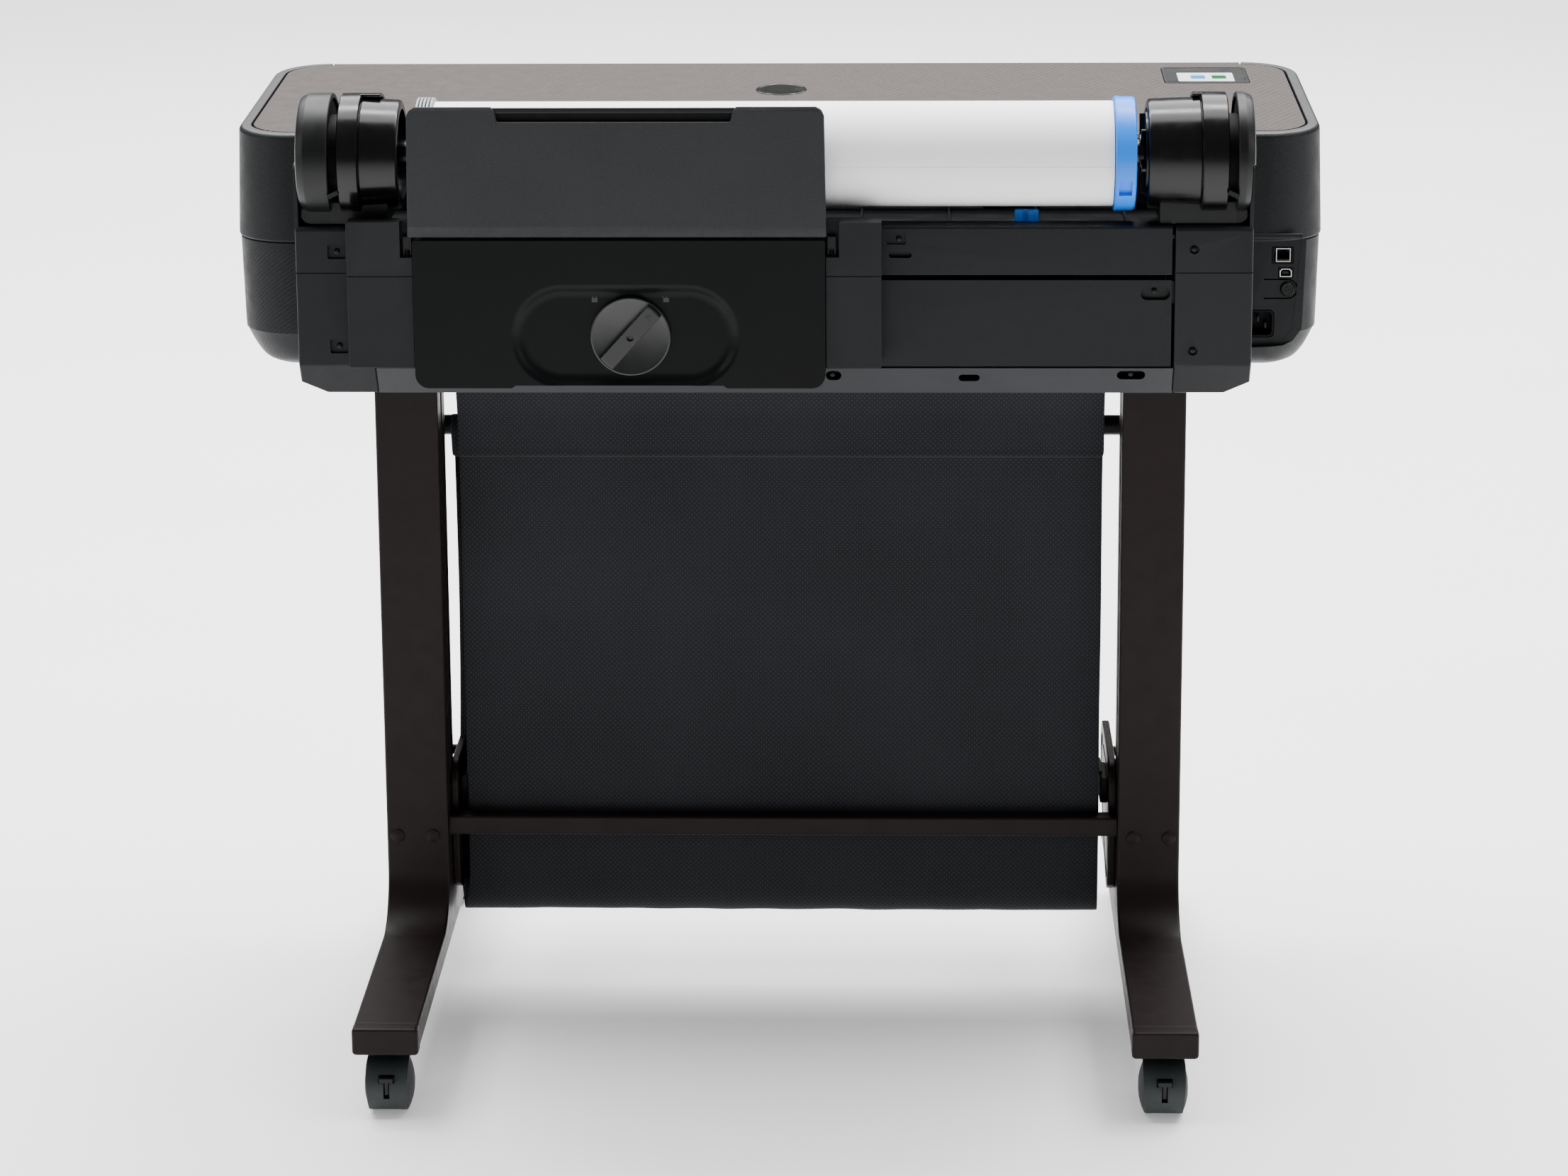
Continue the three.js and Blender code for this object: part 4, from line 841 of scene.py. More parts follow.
def rear_chassis():
    t = 4
    low = MODULE_LOW
    x, _, bay = box_of("rear_chassis")[1]
    profile = [(46, low), (166, low), (REAR - 1, 678), (REAR - 4, 679), (163, low + t), (60, low + t),
               (60, bay - t), (180, bay - t), (180, bay), (56, bay), (56, low + t), (46, low + t)]
    channel = prism(profile, "x", -x, x)
    strip = ((-61, -47, 665, 675), (-186, -167, 664, 671), (-335, -309.5, 666, 675))
    holes = [prism(rounded(x0, x1, z0, z1, (z1 - z0) / 2 - 0.1, 6), "y", 150, 200) for x0, x1, z0,
             z1 in strip]
    ribs = [block(rx, rx + 2, 62, 178, bay - 0.5, bay + 4, 0.3) for rx in range(-320, 330, 80)]
    posts = [block(px, px + 8, 29, 57, 690, 698, 0.4) for px in (-350, -200)]
    body = merge(boolean(channel, holes), *ribs, *posts)
    # Faces above z 700, the floor and ribs of the bay under the roll, take the darker plastic as painted
    # shade in the bay.
    for face in body.faces:
        face.material_index = int(face.calc_center_median().z > 700)
    chassis = piece("chassis_frame", body, BODY, "bottom_grey", replaces="rear_chassis", edge=0.5)
    chassis.data.materials.append(LOOKS["dark_plastic"])
    backs = [block(x0 - 5, x1 + 5, 158, 160, 660, 679) for x0, x1, _, _ in strip]
    piece("strip_hole_backs", merge(*backs), BODY, "dark_plastic")
    spots = ((-342, REAR - 3, 748.5), (-113, REAR - 1, 797), (-322, 176, 671), (-53, 176, 670.5))
    heads = [shift(screw("y", 0, 1, x, z, 2.4), y=y) for x, y, z in spots]
    piece("rear_screws", merge(*heads), BODY, "steel", look=SCREW)


def end_panel(side, name):
    low, high = box_of(f"end_panel_{name}")
    x0, x1 = low[0], high[0]
    outer = x1 if side > 0 else x0
    base, top = low[2], PANEL_TOP
    profile = [(low[1], base), (166, base), *arc(REAR - 5, 682, 5, -35, 0, 4),
               *arc(REAR - 5, top - 5, 5, 0, 90, 5),
               (low[1], top)]
    panel = prism(profile, "x", x0, x1, bevel=1.8, steps=3)
    drum_room = rod("x", 61.5, x0 - 1, x1 + 1, ROLL_Y, ROLL_Z, 0.01, 96)
    corner = prism([(outer - side * 28, base - 2), (outer + side * 4, base - 2),
                    (outer + side * 4, base + 16),
                    (outer + side * 1, base + 13)], "y", low[1] - 5, REAR + 5)
    seam = [block(x0 - 1, x1 + 1, REAR - 1, REAR + 2, PANEL_SEAM_Z - 0.6, PANEL_SEAM_Z + 0.6),
            block(*sorted((outer - side, outer + side * 2)), low[1] - 1, REAR + 2, PANEL_SEAM_Z - 0.6,
                   PANEL_SEAM_Z + 0.6)]
    screw_x = 392.5 if side > 0 else -377
    heights = (785.5, 698.5) if side > 0 else (787.4, 694.4)
    if side > 0:
        wells = [prism(rounded(384.5, 400.5, z - 6.5, z + 6.5, 1.5), "y", REAR - 3,
                       REAR + 5) for z in heights]
    else:
        wells = [rod("y", 4.4, REAR - 3, REAR + 5, screw_x, z) for z in heights]
    panel = boolean(panel, [drum_room, corner, *seam, *wells])
    wall_front, wall_rear = ROLL_Y - 57.5, REAR - 2
    wall = [(wall_front, top - 8), (wall_rear, top - 8), (wall_rear, high[2] - 8),
            *arc(wall_rear - 8, high[2] - 8, 8, 0, 90, 6), (wall_front, high[2])]
    wall = prism(wall, "x", *sorted((side * 426.4, outer)), bevel=0.6)
    panel = boolean(panel, [wall], "UNION")
    piece(f"end_cover_{name}", panel, BODY, "casing", look=MODULE_LOOK, replaces=f"end_panel_{name}",
          edge=0.3)
    heads = [shift(screw("y", 0, 1, screw_x, z, 2.6), y=REAR - 2) for z in heights]
    piece(f"end_screws_{name}", merge(*heads), BODY, "steel", look=SCREW)


# ---- Roll, spindle and holders ----------------------------------------------------------------

def radial(x, angle, radius):
    """The point at an angle from straight up towards +Y, about the roll's axis."""
    return (x, ROLL_Y + radius * sin(radians(angle)), ROLL_Z + radius * cos(radians(angle)))


def bent_plate(x0, x1, r0, r1, start, end, steps=24, bevel=0.6):
    """Part of a tube about the roll's axis, from one angle to another."""
    rings = []
    for i in range(steps + 1):
        angle = start + (end - start) * i / steps
        rings.append([radial(x, angle, r) for x, r in ((x0, r0), (x1, r0), (x1, r1), (x0, r1))])
    return loft(rings, bevel=bevel)


def roll_holder(side, name):
    """A drum with its collar and tongue, a slot, and a hollow end disc on a saddle."""
    high = box_of(f"roll_holder_{name}")[1]
    collar, slot, disc, end = (369, 388.5, 396.5, 425.7) if side > 0 else (382, 406, 414, 429.4)
    inner = 335
    big = high[2] - ROLL_Z - 0.2
    drum_r = big - 6.2
    drum = [(352, 0), (352, 13.3), (343, 13.3), (343, 41), (inner, 41), (inner, drum_r - 3),
            (inner + 0.8, drum_r - 1),
            (inner + 2.6, drum_r), (collar - 0.6, drum_r + 1.6), (collar - 0.3, drum_r + 1.2),
            (collar + 0.2, big - 1.8), (collar + 1.4, big - 0.4), (collar + 3, big), (slot - 1, big - 0.2),
            (slot, big - 1.4), (slot, 40), (slot - 4, 40), (slot - 4, 0)]
    turned = lathe([(side * x, r) for x, r in drum], "x", ROLL_Y, ROLL_Z, 128)
    piece(f"holder_drum_{name}", turned, BODY, "satin_black", replaces=f"roll_holder_{name}")
    reach = 353 if side > 0 else 375.4
    tab = bent_plate(*sorted((side * reach, side * (collar + 4))), big - 3.6, big - 0.1, -75, 4, bevel=0.9)
    piece(f"holder_tab_{name}", tab, BODY, "satin_black")
    cup = [(disc, big - 4.5), (disc, big - 1), (disc + 1, big), (end - 8.5, big), (end - 7, big - 0.6),
           (end - 3, big - 2.2), (end - 1, big - 3.6), (end, big - 6.5), (end, 0), (end - 4, 0),
           (end - 4, big - 4.5)]
    shell = lathe([(side * x, r) for x, r in cup], "x", ROLL_Y, ROLL_Z, 128)
    wall_room = block(*sorted((side * 426, side * 440)), 60, 240, 700, ROLL_Z - 1.8)
    shell = boolean(shell, [wall_room])
    piece(f"holder_disc_{name}", shell, BODY, "dark_plastic", edge=0.3)
    # The core and the disc just inside the cup are near-black: painted shade in the hollow end disc, seen
    # through the slot.
    core = rod("x", 36, *sorted((side * (slot - 5), side * (end - 3))), ROLL_Y, ROLL_Z, 0.2, 64)
    inside = rod("x", big - 4.7, *sorted((side * (disc + 2), side * (disc + 5))), ROLL_Y, ROLL_Z, 0.2, 96)
    piece(f"holder_core_{name}", merge(core, inside), BODY, "dark_plastic", look=BLACK_AND_PAINTED_SHADE)
    foot, corner, wall = PANEL_TOP + 0.5, 11, min(end, 425.8)
    base = [(disc, foot), *arc(wall - corner, foot + corner, corner, -90, -20, 6), (wall - 3, 834),
            (disc, 834)]
    lower = loft([[(side * x, y, z) for x, z in base] for y in (ROLL_Y - 48, ROLL_Y + 29)], bevel=0.7)
    strut_y = ROLL_Y + (44 if side > 0 else 47)
    strut = turn(block(*sorted((side * (slot - 1), side * (disc + 1))), strut_y, strut_y + 6, 838, 842),
                 side * 24,
                 "y", (side * (slot + disc) / 2, ROLL_Y, 840))
    saddle = block(*sorted((side * 346, side * (disc + 2))), ROLL_Y - 50, ROLL_Y + 30, foot, 830, 1.5)
    piece(f"holder_saddle_{name}", merge(saddle, strut, lower), BODY, "dark_plastic")


def paper_roll():
    x = ROLL_HIGH[0]
    r = (ROLL_HIGH[2] - ROLL_LOW[2]) / 2
    tube = lathe([(-x, 25.6), (-x, r - 0.3), (-x + 0.3, r), (x - 0.3, r), (x, r - 0.3), (x, 25.6)], "x",
                 ROLL_Y,
                 ROLL_Z, 160)
    for face in tube.faces:
        face.material_index = int(abs(face.normal.x) > 0.8)
    roll = piece("media_roll", tube, "roll", "paper", replaces="paper_roll")
    roll.data.materials.append(PAPER_END)
    edge = bent_plate(-x + 0.2, x - 0.2, r, r + 0.35, 95, 116, bevel=0.1)
    piece("media_loose_end", edge, "roll", "paper")
    core = lathe([(-x + 1, 24.6), (-x + 1, 25.5), (x - 1, 25.5), (x - 1, 24.6)], "x", ROLL_Y, ROLL_Z, 72)
    piece("media_core", core, "roll", "paper", look=plastic("card_core", "9a7a55", 0.8, grain=0.6).material)


def spindle():
    end = box_of("spindle")[1][0]
    shaft = [(-end, 0), (-end, 12), (-end + 1, 13), (-343, 13), (-339, 17), (-338.6, 38), (-338, 39),
             (-333.5, 39),
             (-333, 38), (-333, 21), (-332, 19), (-328.6, 19), (-328.3, 13), (-300, 13), (-300, 24.4),
             (299, 24.4), (299, 13), (end - 1, 13), (end, 12), (end, 0)]
    piece("spindle_shaft", lathe(shaft, "x", ROLL_Y, ROLL_Z, 72), "roll", "grey_plastic",
          look=LOOKS["satin_black"], replaces="spindle")
    fins = []
    for i in range(6):
        fin = block(-338, -329, ROLL_Y - 1.2, ROLL_Y + 1.2, ROLL_Z + 12, ROLL_Z + 36, 0.4)
        fins.append(turn(fin, i * 60 + 15, "x", (0, ROLL_Y, ROLL_Z)))
    piece("spindle_fins", merge(*fins), "roll", "dark_plastic", look=LOOKS["satin_black"])


def flanges():
    low, high = box_of("blue_flange")
    x0, x1 = high[0] - 4, low[0] + 2.5
    ring = [(x1, 14), (x1, 49), (x1 + 1, 50.6), (x1 + 3, 51.4), (x0 - 1.2, 51.8), (x0, 50.8), (x0, 25.3),
            (x0 + 3.8, 25.3), (x0 + 3.8, 14)]
    blue = lathe(ring, "x", ROLL_Y, ROLL_Z, 120)
    pockets = []
    for angle in (-12, 118, 232):
        pockets.append(bent_plate(x1 + 4, x0 - 3.5, 47.5, 54, angle - 9, angle + 9, 6, 0.0))
    face = [bent_plate(x1 - 2, x1 + 3, 24, 44, i * 60 + 6, i * 60 + 54, 10, 0.0) for i in range(6)]
    piece("blue_end_flange", boolean(blue, [*pockets, *face]), "roll", "blue_plastic", replaces="blue_flange",
          edge=0.5)
    low, high = box_of("grey_flange")
    x0 = low[0] + 4
    fin, gap, r = 1.9, 1.25, (high[2] - low[2]) / 2 - 0.3
    profile = [(x0, 20), (x0, r - 0.4), (x0 + 0.3, r)]
    for i in range(4):
        x = x0 + fin + i * (fin + gap)
        profile += [(x - 0.3, r), (x, r - 0.4), (x, r - 6), (x + gap, r - 6), (x + gap, r - 0.4),
                    (x + gap + 0.3, r)]
    end = x0 + 5 * fin + 4 * gap
    profile += [(end - 0.3, r), (end, r - 0.4), (end, 20)]
    rim = lathe(profile, "x", ROLL_Y, ROLL_Z, 120)
    hub = lathe([(x0 - 4, 13.4), (x0 - 4, 24.8), (x0, 24.8), (x0 + 18, 20), (x0 + 20.5, 19.5),
                 (x0 + 20.9, 13.4)],
                "x", ROLL_Y, ROLL_Z, 72)
    piece("grey_end_flange", merge(rim, hub), "roll", "grey_plastic", replaces="grey_flange", smooth=25)


def guide_clip():
    low, high = box_of("roll_guide_clip")
    base = block(low[0], high[0], low[1], high[1], low[2], low[2] + 5.5, 1.0)
    tab = block(low[0] + 1.2, high[0] - 1.2, high[1] - 6, high[1], low[2] + 5, high[2], 1.2)
    slit = block(low[0] + 10.5, high[0] - 8.5, high[1] - 2.5, high[1] + 1, low[2] + 7, high[2] + 1)
    piece("media_guide_clip", boolean(boolean(base, [tab], "UNION"), [slit]), BODY, "blue_plastic",
          replaces="roll_guide_clip", edge=0.4)


# ---- Sheet feeder -----------------------------------------------------------------------------

FEED_LOW, FEED_HIGH = box_of("feeder_body")
FLAP_LOW, FLAP_HIGH = box_of("feeder_flap")
KNOB_LOW, KNOB_HIGH = box_of("lock_knob")
KNOB_X = (KNOB_LOW[0] + KNOB_HIGH[0]) / 2
KNOB_Z = (KNOB_LOW[2] + KNOB_HIGH[2]) / 2
KNOB_R = (KNOB_HIGH[0] - KNOB_LOW[0]) / 2 + 0.3


def stadium(grow):
    return rounded(KNOB_X - 91 - grow, KNOB_X + 100 + grow, KNOB_Z - 40 - grow, KNOB_Z + 40 + grow, 40 + grow,
                   14)


def feeder_body():
    x0, x1, z0, z1 = FEED_LOW[0], FEED_HIGH[0], FEED_LOW[2], FEED_HIGH[2]
    y1 = FEED_HIGH[1]
    outline = [*arc(x1 - 2, z1 - 2, 2, 0, 90, 3), *arc(x0 + 2, z1 - 2, 2, 90, 180, 3),
               *arc(x0 + 12, z0 + 12, 12, 180, 270, 6), (41, z0), (44, z0 + 2.5), (231, z0 + 2.5), (234, z0),
               *arc(x1 - 12, z0 + 12, 12, -90, 0, 6)]
    shell = prism(outline, "y", FEED_LOW[1], y1, bevel=2.2, steps=4)
    dish = loft([[(u, y, v) for u, v in stadium(grow)] for y, grow in
                 ((y1 + 4, 14), (y1 + 0.05, 8.5), (y1 - 0.4, 6.2), (y1 - 1.4, 4.2), (y1 - 3.0, 2.2),
                  (y1 - 4.6, 0.2),
                  (y1 - 5.6, -2.2), (y1 - 6, -6))])
    hole = rod("y", 8, y1 - 30, y1, KNOB_X, KNOB_Z)
    hollow = block(x0 + 3, x1 - 3, FEED_LOW[1] - 5, y1 - 10, z0 + 4, z1 - 3)
    piece("feeder_shell", boolean(shell, [dish, hole, hollow]), BODY, "dark_plastic", look=FEEDER_LOOK,
          replaces="feeder_body", smooth=40)
    marks = []
    for cx, lift in ((159, 0.0), (95, 1.2)):
        y = y1 - 6.05
        marks.append(block(cx - 2.6, cx + 2.6, y, y + 0.25, 744, 748, 0.05))
        bow = rod("y", 2.0, y, y + 0.25, cx + lift, 748.4, 0.05)
        inside = rod("y", 1.3, y - 1, y + 1, cx + lift, 748.4)
        below = block(cx - 5, cx + 6, y - 1, y + 1, 740, 748)
        marks.append(boolean(bow, [inside, below]))
    piece("lock_marks", merge(*marks), BODY, "grey_plastic",
          look=plastic("mark_grey", "1d1e20", 0.5).material)


def lock_knob():
    y0 = KNOB_LOW[1] + 8
    y1 = KNOB_HIGH[1]
    dish = [(y0 + 4.6 - 3.4 * (1 - ((KNOB_R - 2.6 - 3 * i) / (KNOB_R - 2.6)) ** 2), KNOB_R - 2.6 - 3 * i)
            for i in range(1, 11)]
    cup = lathe([(y0, 0), (y0, KNOB_R - 0.5), (y0 + 0.5, KNOB_R), (y0 + 4.6, KNOB_R - 0.3),
                 (y0 + 5, KNOB_R - 0.9),
                 (y0 + 5, KNOB_R - 1.7), (y0 + 4.6, KNOB_R - 2.6), *dish, (y0 + 1.2, 0)], "y", KNOB_X, KNOB_Z,
                120)
    length = KNOB_R - 2.2
    bar = [(length * cos(radians(a)), length * sin(radians(a))) for a in range(-13, 14, 2)]
    bar += [(-u, -v) for u, v in bar]
    grip = loft([[(KNOB_X + u * k, y, KNOB_Z + v * k) for u, v in bar] for y, k in
                 ((y0 + 1, 1.0), (y1 - 1.2, 0.985), (y1 - 0.3, 0.965), (y1, 0.93))])
    turn(grip, 48, "y", (KNOB_X, 0, KNOB_Z))
    knob = boolean(boolean(cup, [grip], "UNION"), [rod("y", 3.3, y1 - 4, y1 + 4, KNOB_X, KNOB_Z, 0.01)])
    far = length - 7
    mark = prism([(far - 3.5, -2.6), (far + 2.2, 0), (far - 3.5, 2.6), (far - 3.5, 1.9), (far + 0.6, 0),
                  (far - 3.5, -1.9)], "y", y1 - 0.6, y1 + 0.6)
    shift(mark, x=KNOB_X, z=KNOB_Z)
    turn(mark, 48 + 180, "y", (KNOB_X, 0, KNOB_Z))
    pin = rod("y", 6.9, y0 - 8, y0 + 1, KNOB_X, KNOB_Z)
    knob = boolean(boolean(knob, [mark]), [pin], "UNION")
    piece("lock_knob_dial", knob, "lock_knob", "dark_plastic", look=KNOB_LOOK, replaces="lock_knob",
          edge=0.35)


def coil(cx, y, z0, z1, r, wire, turns):
    """A small upright spring."""
    steps = turns * 14
    rings = []
    for i in range(steps + 1):
        a = 2 * pi * turns * i / steps
        z = z0 + (z1 - z0) * i / steps
        out = Vector((cos(a), sin(a), 0))
        rings.append([tuple(Vector((cx, y, z)) + out * (r + wire * cos(b)) + Vector((0, 0, wire * sin(b))))
                      for b in (k * pi / 3 for k in range(6))])
    return loft(rings)


def feeder_bracket(name):
    low, high = box_of(f"feeder_bracket_{name}")
    y1 = high[1]
    shell = prism(rounded(low[0], high[0], low[2], high[2], 1.5), "y", low[1], y1, bevel=0.6)
    notch = (low[0] - 1, low[0] + 11) if name == "right" else (high[0] - 12, high[0] + 1)
    cuts = [block(*notch, y1 - 12, y1 + 5, 785, 820), block(low[0] - 1, high[0] + 1, y1 - 0.9, y1 + 2, 767.4,
                                                            768.5)]
    piece(f"feeder_side_{name}", boolean(shell, cuts), BODY, "casing", look=MODULE_LOOK,
          replaces=f"feeder_bracket_{name}", edge=0.4)
    middle = sum(notch) / 2
    arm = block(middle - 4, middle + 4, y1 - 11, y1 - 5, 786, 803, 0.6)
    piece(f"hinge_spring_{name}", coil(middle, y1 - 4, 786, 791, 2.0, 0.45, 4), BODY, "steel", look=SCREW)
    clip = block(middle - 5, middle + 5, y1 - 3.4, y1 - 2.6, 784.2, 785.6, 0.2)
    piece(f"hinge_arm_{name}", merge(arm, clip), BODY, "steel", look=LOOKS["dark_plastic"])


def feeder_flap():
    x0, x1, z0, z1 = FLAP_LOW[0], FLAP_HIGH[0], FLAP_LOW[2], FLAP_HIGH[2]
    y0, y1 = FLAP_LOW[1], FLAP_HIGH[1]
    outline = [(x0, z0), (x1, z0), (x1 - 1.5, z1 - 8), (x1 - 4, z1 - 2.5), (x1 - 9, z1), (248, z1),
               (245, z1 - 4),
               (243, z1 - 13), (36, z1 - 13), (34, z1 - 4), (31, z1), (x0 + 9, z1), (x0 + 4, z1 - 2.5),
               (x0 + 1.5, z1 - 8)]
    plate = prism(outline, "y", y0, y1, bevel=1.4, steps=3)
    slope = prism([(y1 + 3, z1 - 9), (y1 + 3, z1 + 3), (y1 - 3.2, z1 + 3)], "x", x0 - 5, x1 + 5)
    hollow = block(x0 + 5, x1 - 6, y0 - 2, y1 - 4, z0 + 7, z1 - 19)
    lower_slope = prism([(y1 + 3, z0 - 3), (y1 + 3, z0 + 12), (y1, z0 + 10), (y1 - 2.4, z0 - 3)], "x", x0 - 5,
                        x1 + 5)
    plate = boolean(plate, [slope, lower_slope, hollow])
    piece("flap_panel", plate, "feeder_flap", "casing", look=FLAP_LOOK, replaces="feeder_flap", edge=0.4)
    bar = prism(rounded(y0 + 0.3, y0 + 3.2, z1 - 6, z1 - 0.8, 1.2), "x", 32, 247, bevel=0.4)
    # The slot's back wall is near-black: painted shade in the handle recess.
    back = block(32, 247, y0 + 0.4, y0 + 1.4, z1 - 15.5, z1 - 5, 0.2)
    piece("flap_handle", bar, "feeder_flap", "dark_plastic", look=LOOKS["satin_black"])
    piece("flap_slot_back", back, "feeder_flap", "dark_plastic", look=BLACK_AND_PAINTED_SHADE)
    hinge = rod("x", 2.2, x0 + 6, x1 - 6, 209.5, 807.5, 0.4, 32)
    piece("flap_hinge_rod", hinge, "feeder_flap", "dark_plastic")


# ---- Stand ------------------------------------------------------------------------------------

LEG_LOW, LEG_HIGH = box_of("leg_right")
LEG_IN = 324.5
LEG_OUT = LEG_HIGH[0]
LEG_FRONT, LEG_REAR = -42, 16
FOOT_BASE, FOOT_TOP = LEG_LOW[2], 88
FOOT_END = LEG_HIGH[1]
LEG_TOP = LEG_HIGH[2]
PIVOT_Y, PIVOT_Z = -150, 205
ARM_OUT = box_of("basket_arm_right")[1][0]


def mirrored(side, a, b):
    return (a, b) if side > 0 else (-b, -a)


def leg(side, name):
    r = 52
    outline = [(-FOOT_END, FOOT_BASE), (FOOT_END, FOOT_BASE), (FOOT_END, FOOT_TOP),
               *arc(LEG_REAR + r, FOOT_TOP + r, r, -90, -180, 14), (LEG_REAR, LEG_TOP), (LEG_FRONT, LEG_TOP),
               *arc(LEG_FRONT - r, FOOT_TOP + r, r, 0, -90, 14), (-FOOT_END, FOOT_TOP)]
    column = prism(outline, "x", *mirrored(side, LEG_IN, LEG_OUT), bevel=2.6, steps=3)
    grooves = [block(*mirrored(side, LEG_IN - 1, LEG_IN + 3), -19, -7, 215, LEG_TOP + 5),
               block(*mirrored(side, LEG_IN - 1, LEG_IN + 0.8), 4.5, 5.7, 150, LEG_TOP + 5),
               block(*mirrored(side, LEG_IN - 1, LEG_IN + 0.8), -31.5, -30.3, 150, LEG_TOP + 5)]
    piece(f"leg_column_{name}", boolean(column, grooves), BODY, "stand_paint", replaces=f"leg_{name}",
          edge=0.3)
    caps = []
    for x, z in ((374, 172), (340, 172)):
        caps.append(lathe([(LEG_REAR - 2, 0), (LEG_REAR - 2, 7), (LEG_REAR + 0.3, 7), (LEG_REAR + 1.4, 6.2),
                           (LEG_REAR + 2.1, 3.5), (LEG_REAR + 2.3, 0)], "y", side * x, z, 40))
    for x in (371, 337):
        caps.append(lathe([(LEG_REAR - 2, 0), (LEG_REAR - 2, 6.5), (LEG_REAR + 0.8, 6.5), (LEG_REAR + 2.4, 5),
                           (LEG_REAR + 2.8, 0)], "y", side * x, 633, 40))
    piece(f"leg_caps_{name}", merge(*caps), BODY, "stand_paint")
    basket_bracket(side, name)


def basket_bracket(side, name):
    """The paddle on the leg's inner face that carries the basket's pivot, and its block."""
    outline = [(-11, 150), *arc(-33, 214, 22, 0, 90, 6), *arc(-150, 210, 26, 90, 180, 8), (-172, 185),
               (-150, 158),
               (-105, 122), (-62, 104), (-40, 100), (-20, 110), (-13, 128)]
    plate = prism(outline, "x", *mirrored(side, 317, LEG_IN - 0.2), bevel=1.6, steps=3)
    inner = [(-19, 152), *arc(-37, 208, 16, 0, 90, 6), *arc(-148, 206, 19, 90, 180, 8), (-162, 186),
             (-142, 165),
             (-101, 131), (-62, 114), (-42, 110), (-26, 118)]
    dish = prism(inner, "x", *mirrored(side, 315, 318.2))
    ridge = prism([(y * 0.86 - 11, (z - 160) * 0.82 + 162) for y, z in inner], "x",
                  *mirrored(side, 317.2, 319),
                  bevel=0.5)
    stop = block(*mirrored(side, 309.5, 317.5), -84, -34, 190, 216, 1.6)
    cap = block(*mirrored(side, 308.5, 312), -80, -38, 218, 222, 1.0)
    pivot = rod("x", 5, *mirrored(side, 326, ARM_OUT + 2), PIVOT_Y, PIVOT_Z, 0.8)
    piece(f"basket_bracket_{name}", merge(boolean(plate, [dish]), ridge, stop, cap, pivot), BODY,
          "stand_paint")


def foot_caps():
    for end_name, end in ENDS.items():
        for name in SIDES:
            node = f"foot_cap_{end_name}_{name}"
            low, high = box_of(node)
            y0, y1 = (low[1], high[1]) if end > 0 else (high[1], low[1])
            outline = rounded(low[0], high[0], low[2], high[2], 3.5, 5)
            cx, cz = (low[0] + high[0]) / 2, (low[2] + high[2]) / 2

            def ring(y, grow):
                return [(cx + (u - cx) * (1 - grow / 30), y, cz + (v - cz) * (1 - grow / 13)) for u,
                        v in outline]
            rings = [ring(y0, 0.4), ring(y0 + end * 0.5, 0), ring(y1 - end * 3, 0), ring(y1 - end * 1.2, 0.5),
                     ring(y1 - end * 0.3, 1.4), ring(y1, 2.8)]
            piece(f"foot_end_{end_name}_{name}", loft(rings), BODY, "stand_paint", replaces=node, smooth=50)


def cross_brace():
    low, high = box_of("cross_brace")
    outline = rounded(low[1], high[1], low[2], high[2], 2.5, 5)
    bar = prism(outline, "x", low[0], high[0], bevel=0.4)
    piece("brace_tube", bar, BODY, "stand_paint", replaces="cross_brace")


# ---- Casters ----------------------------------------------------------------------------------

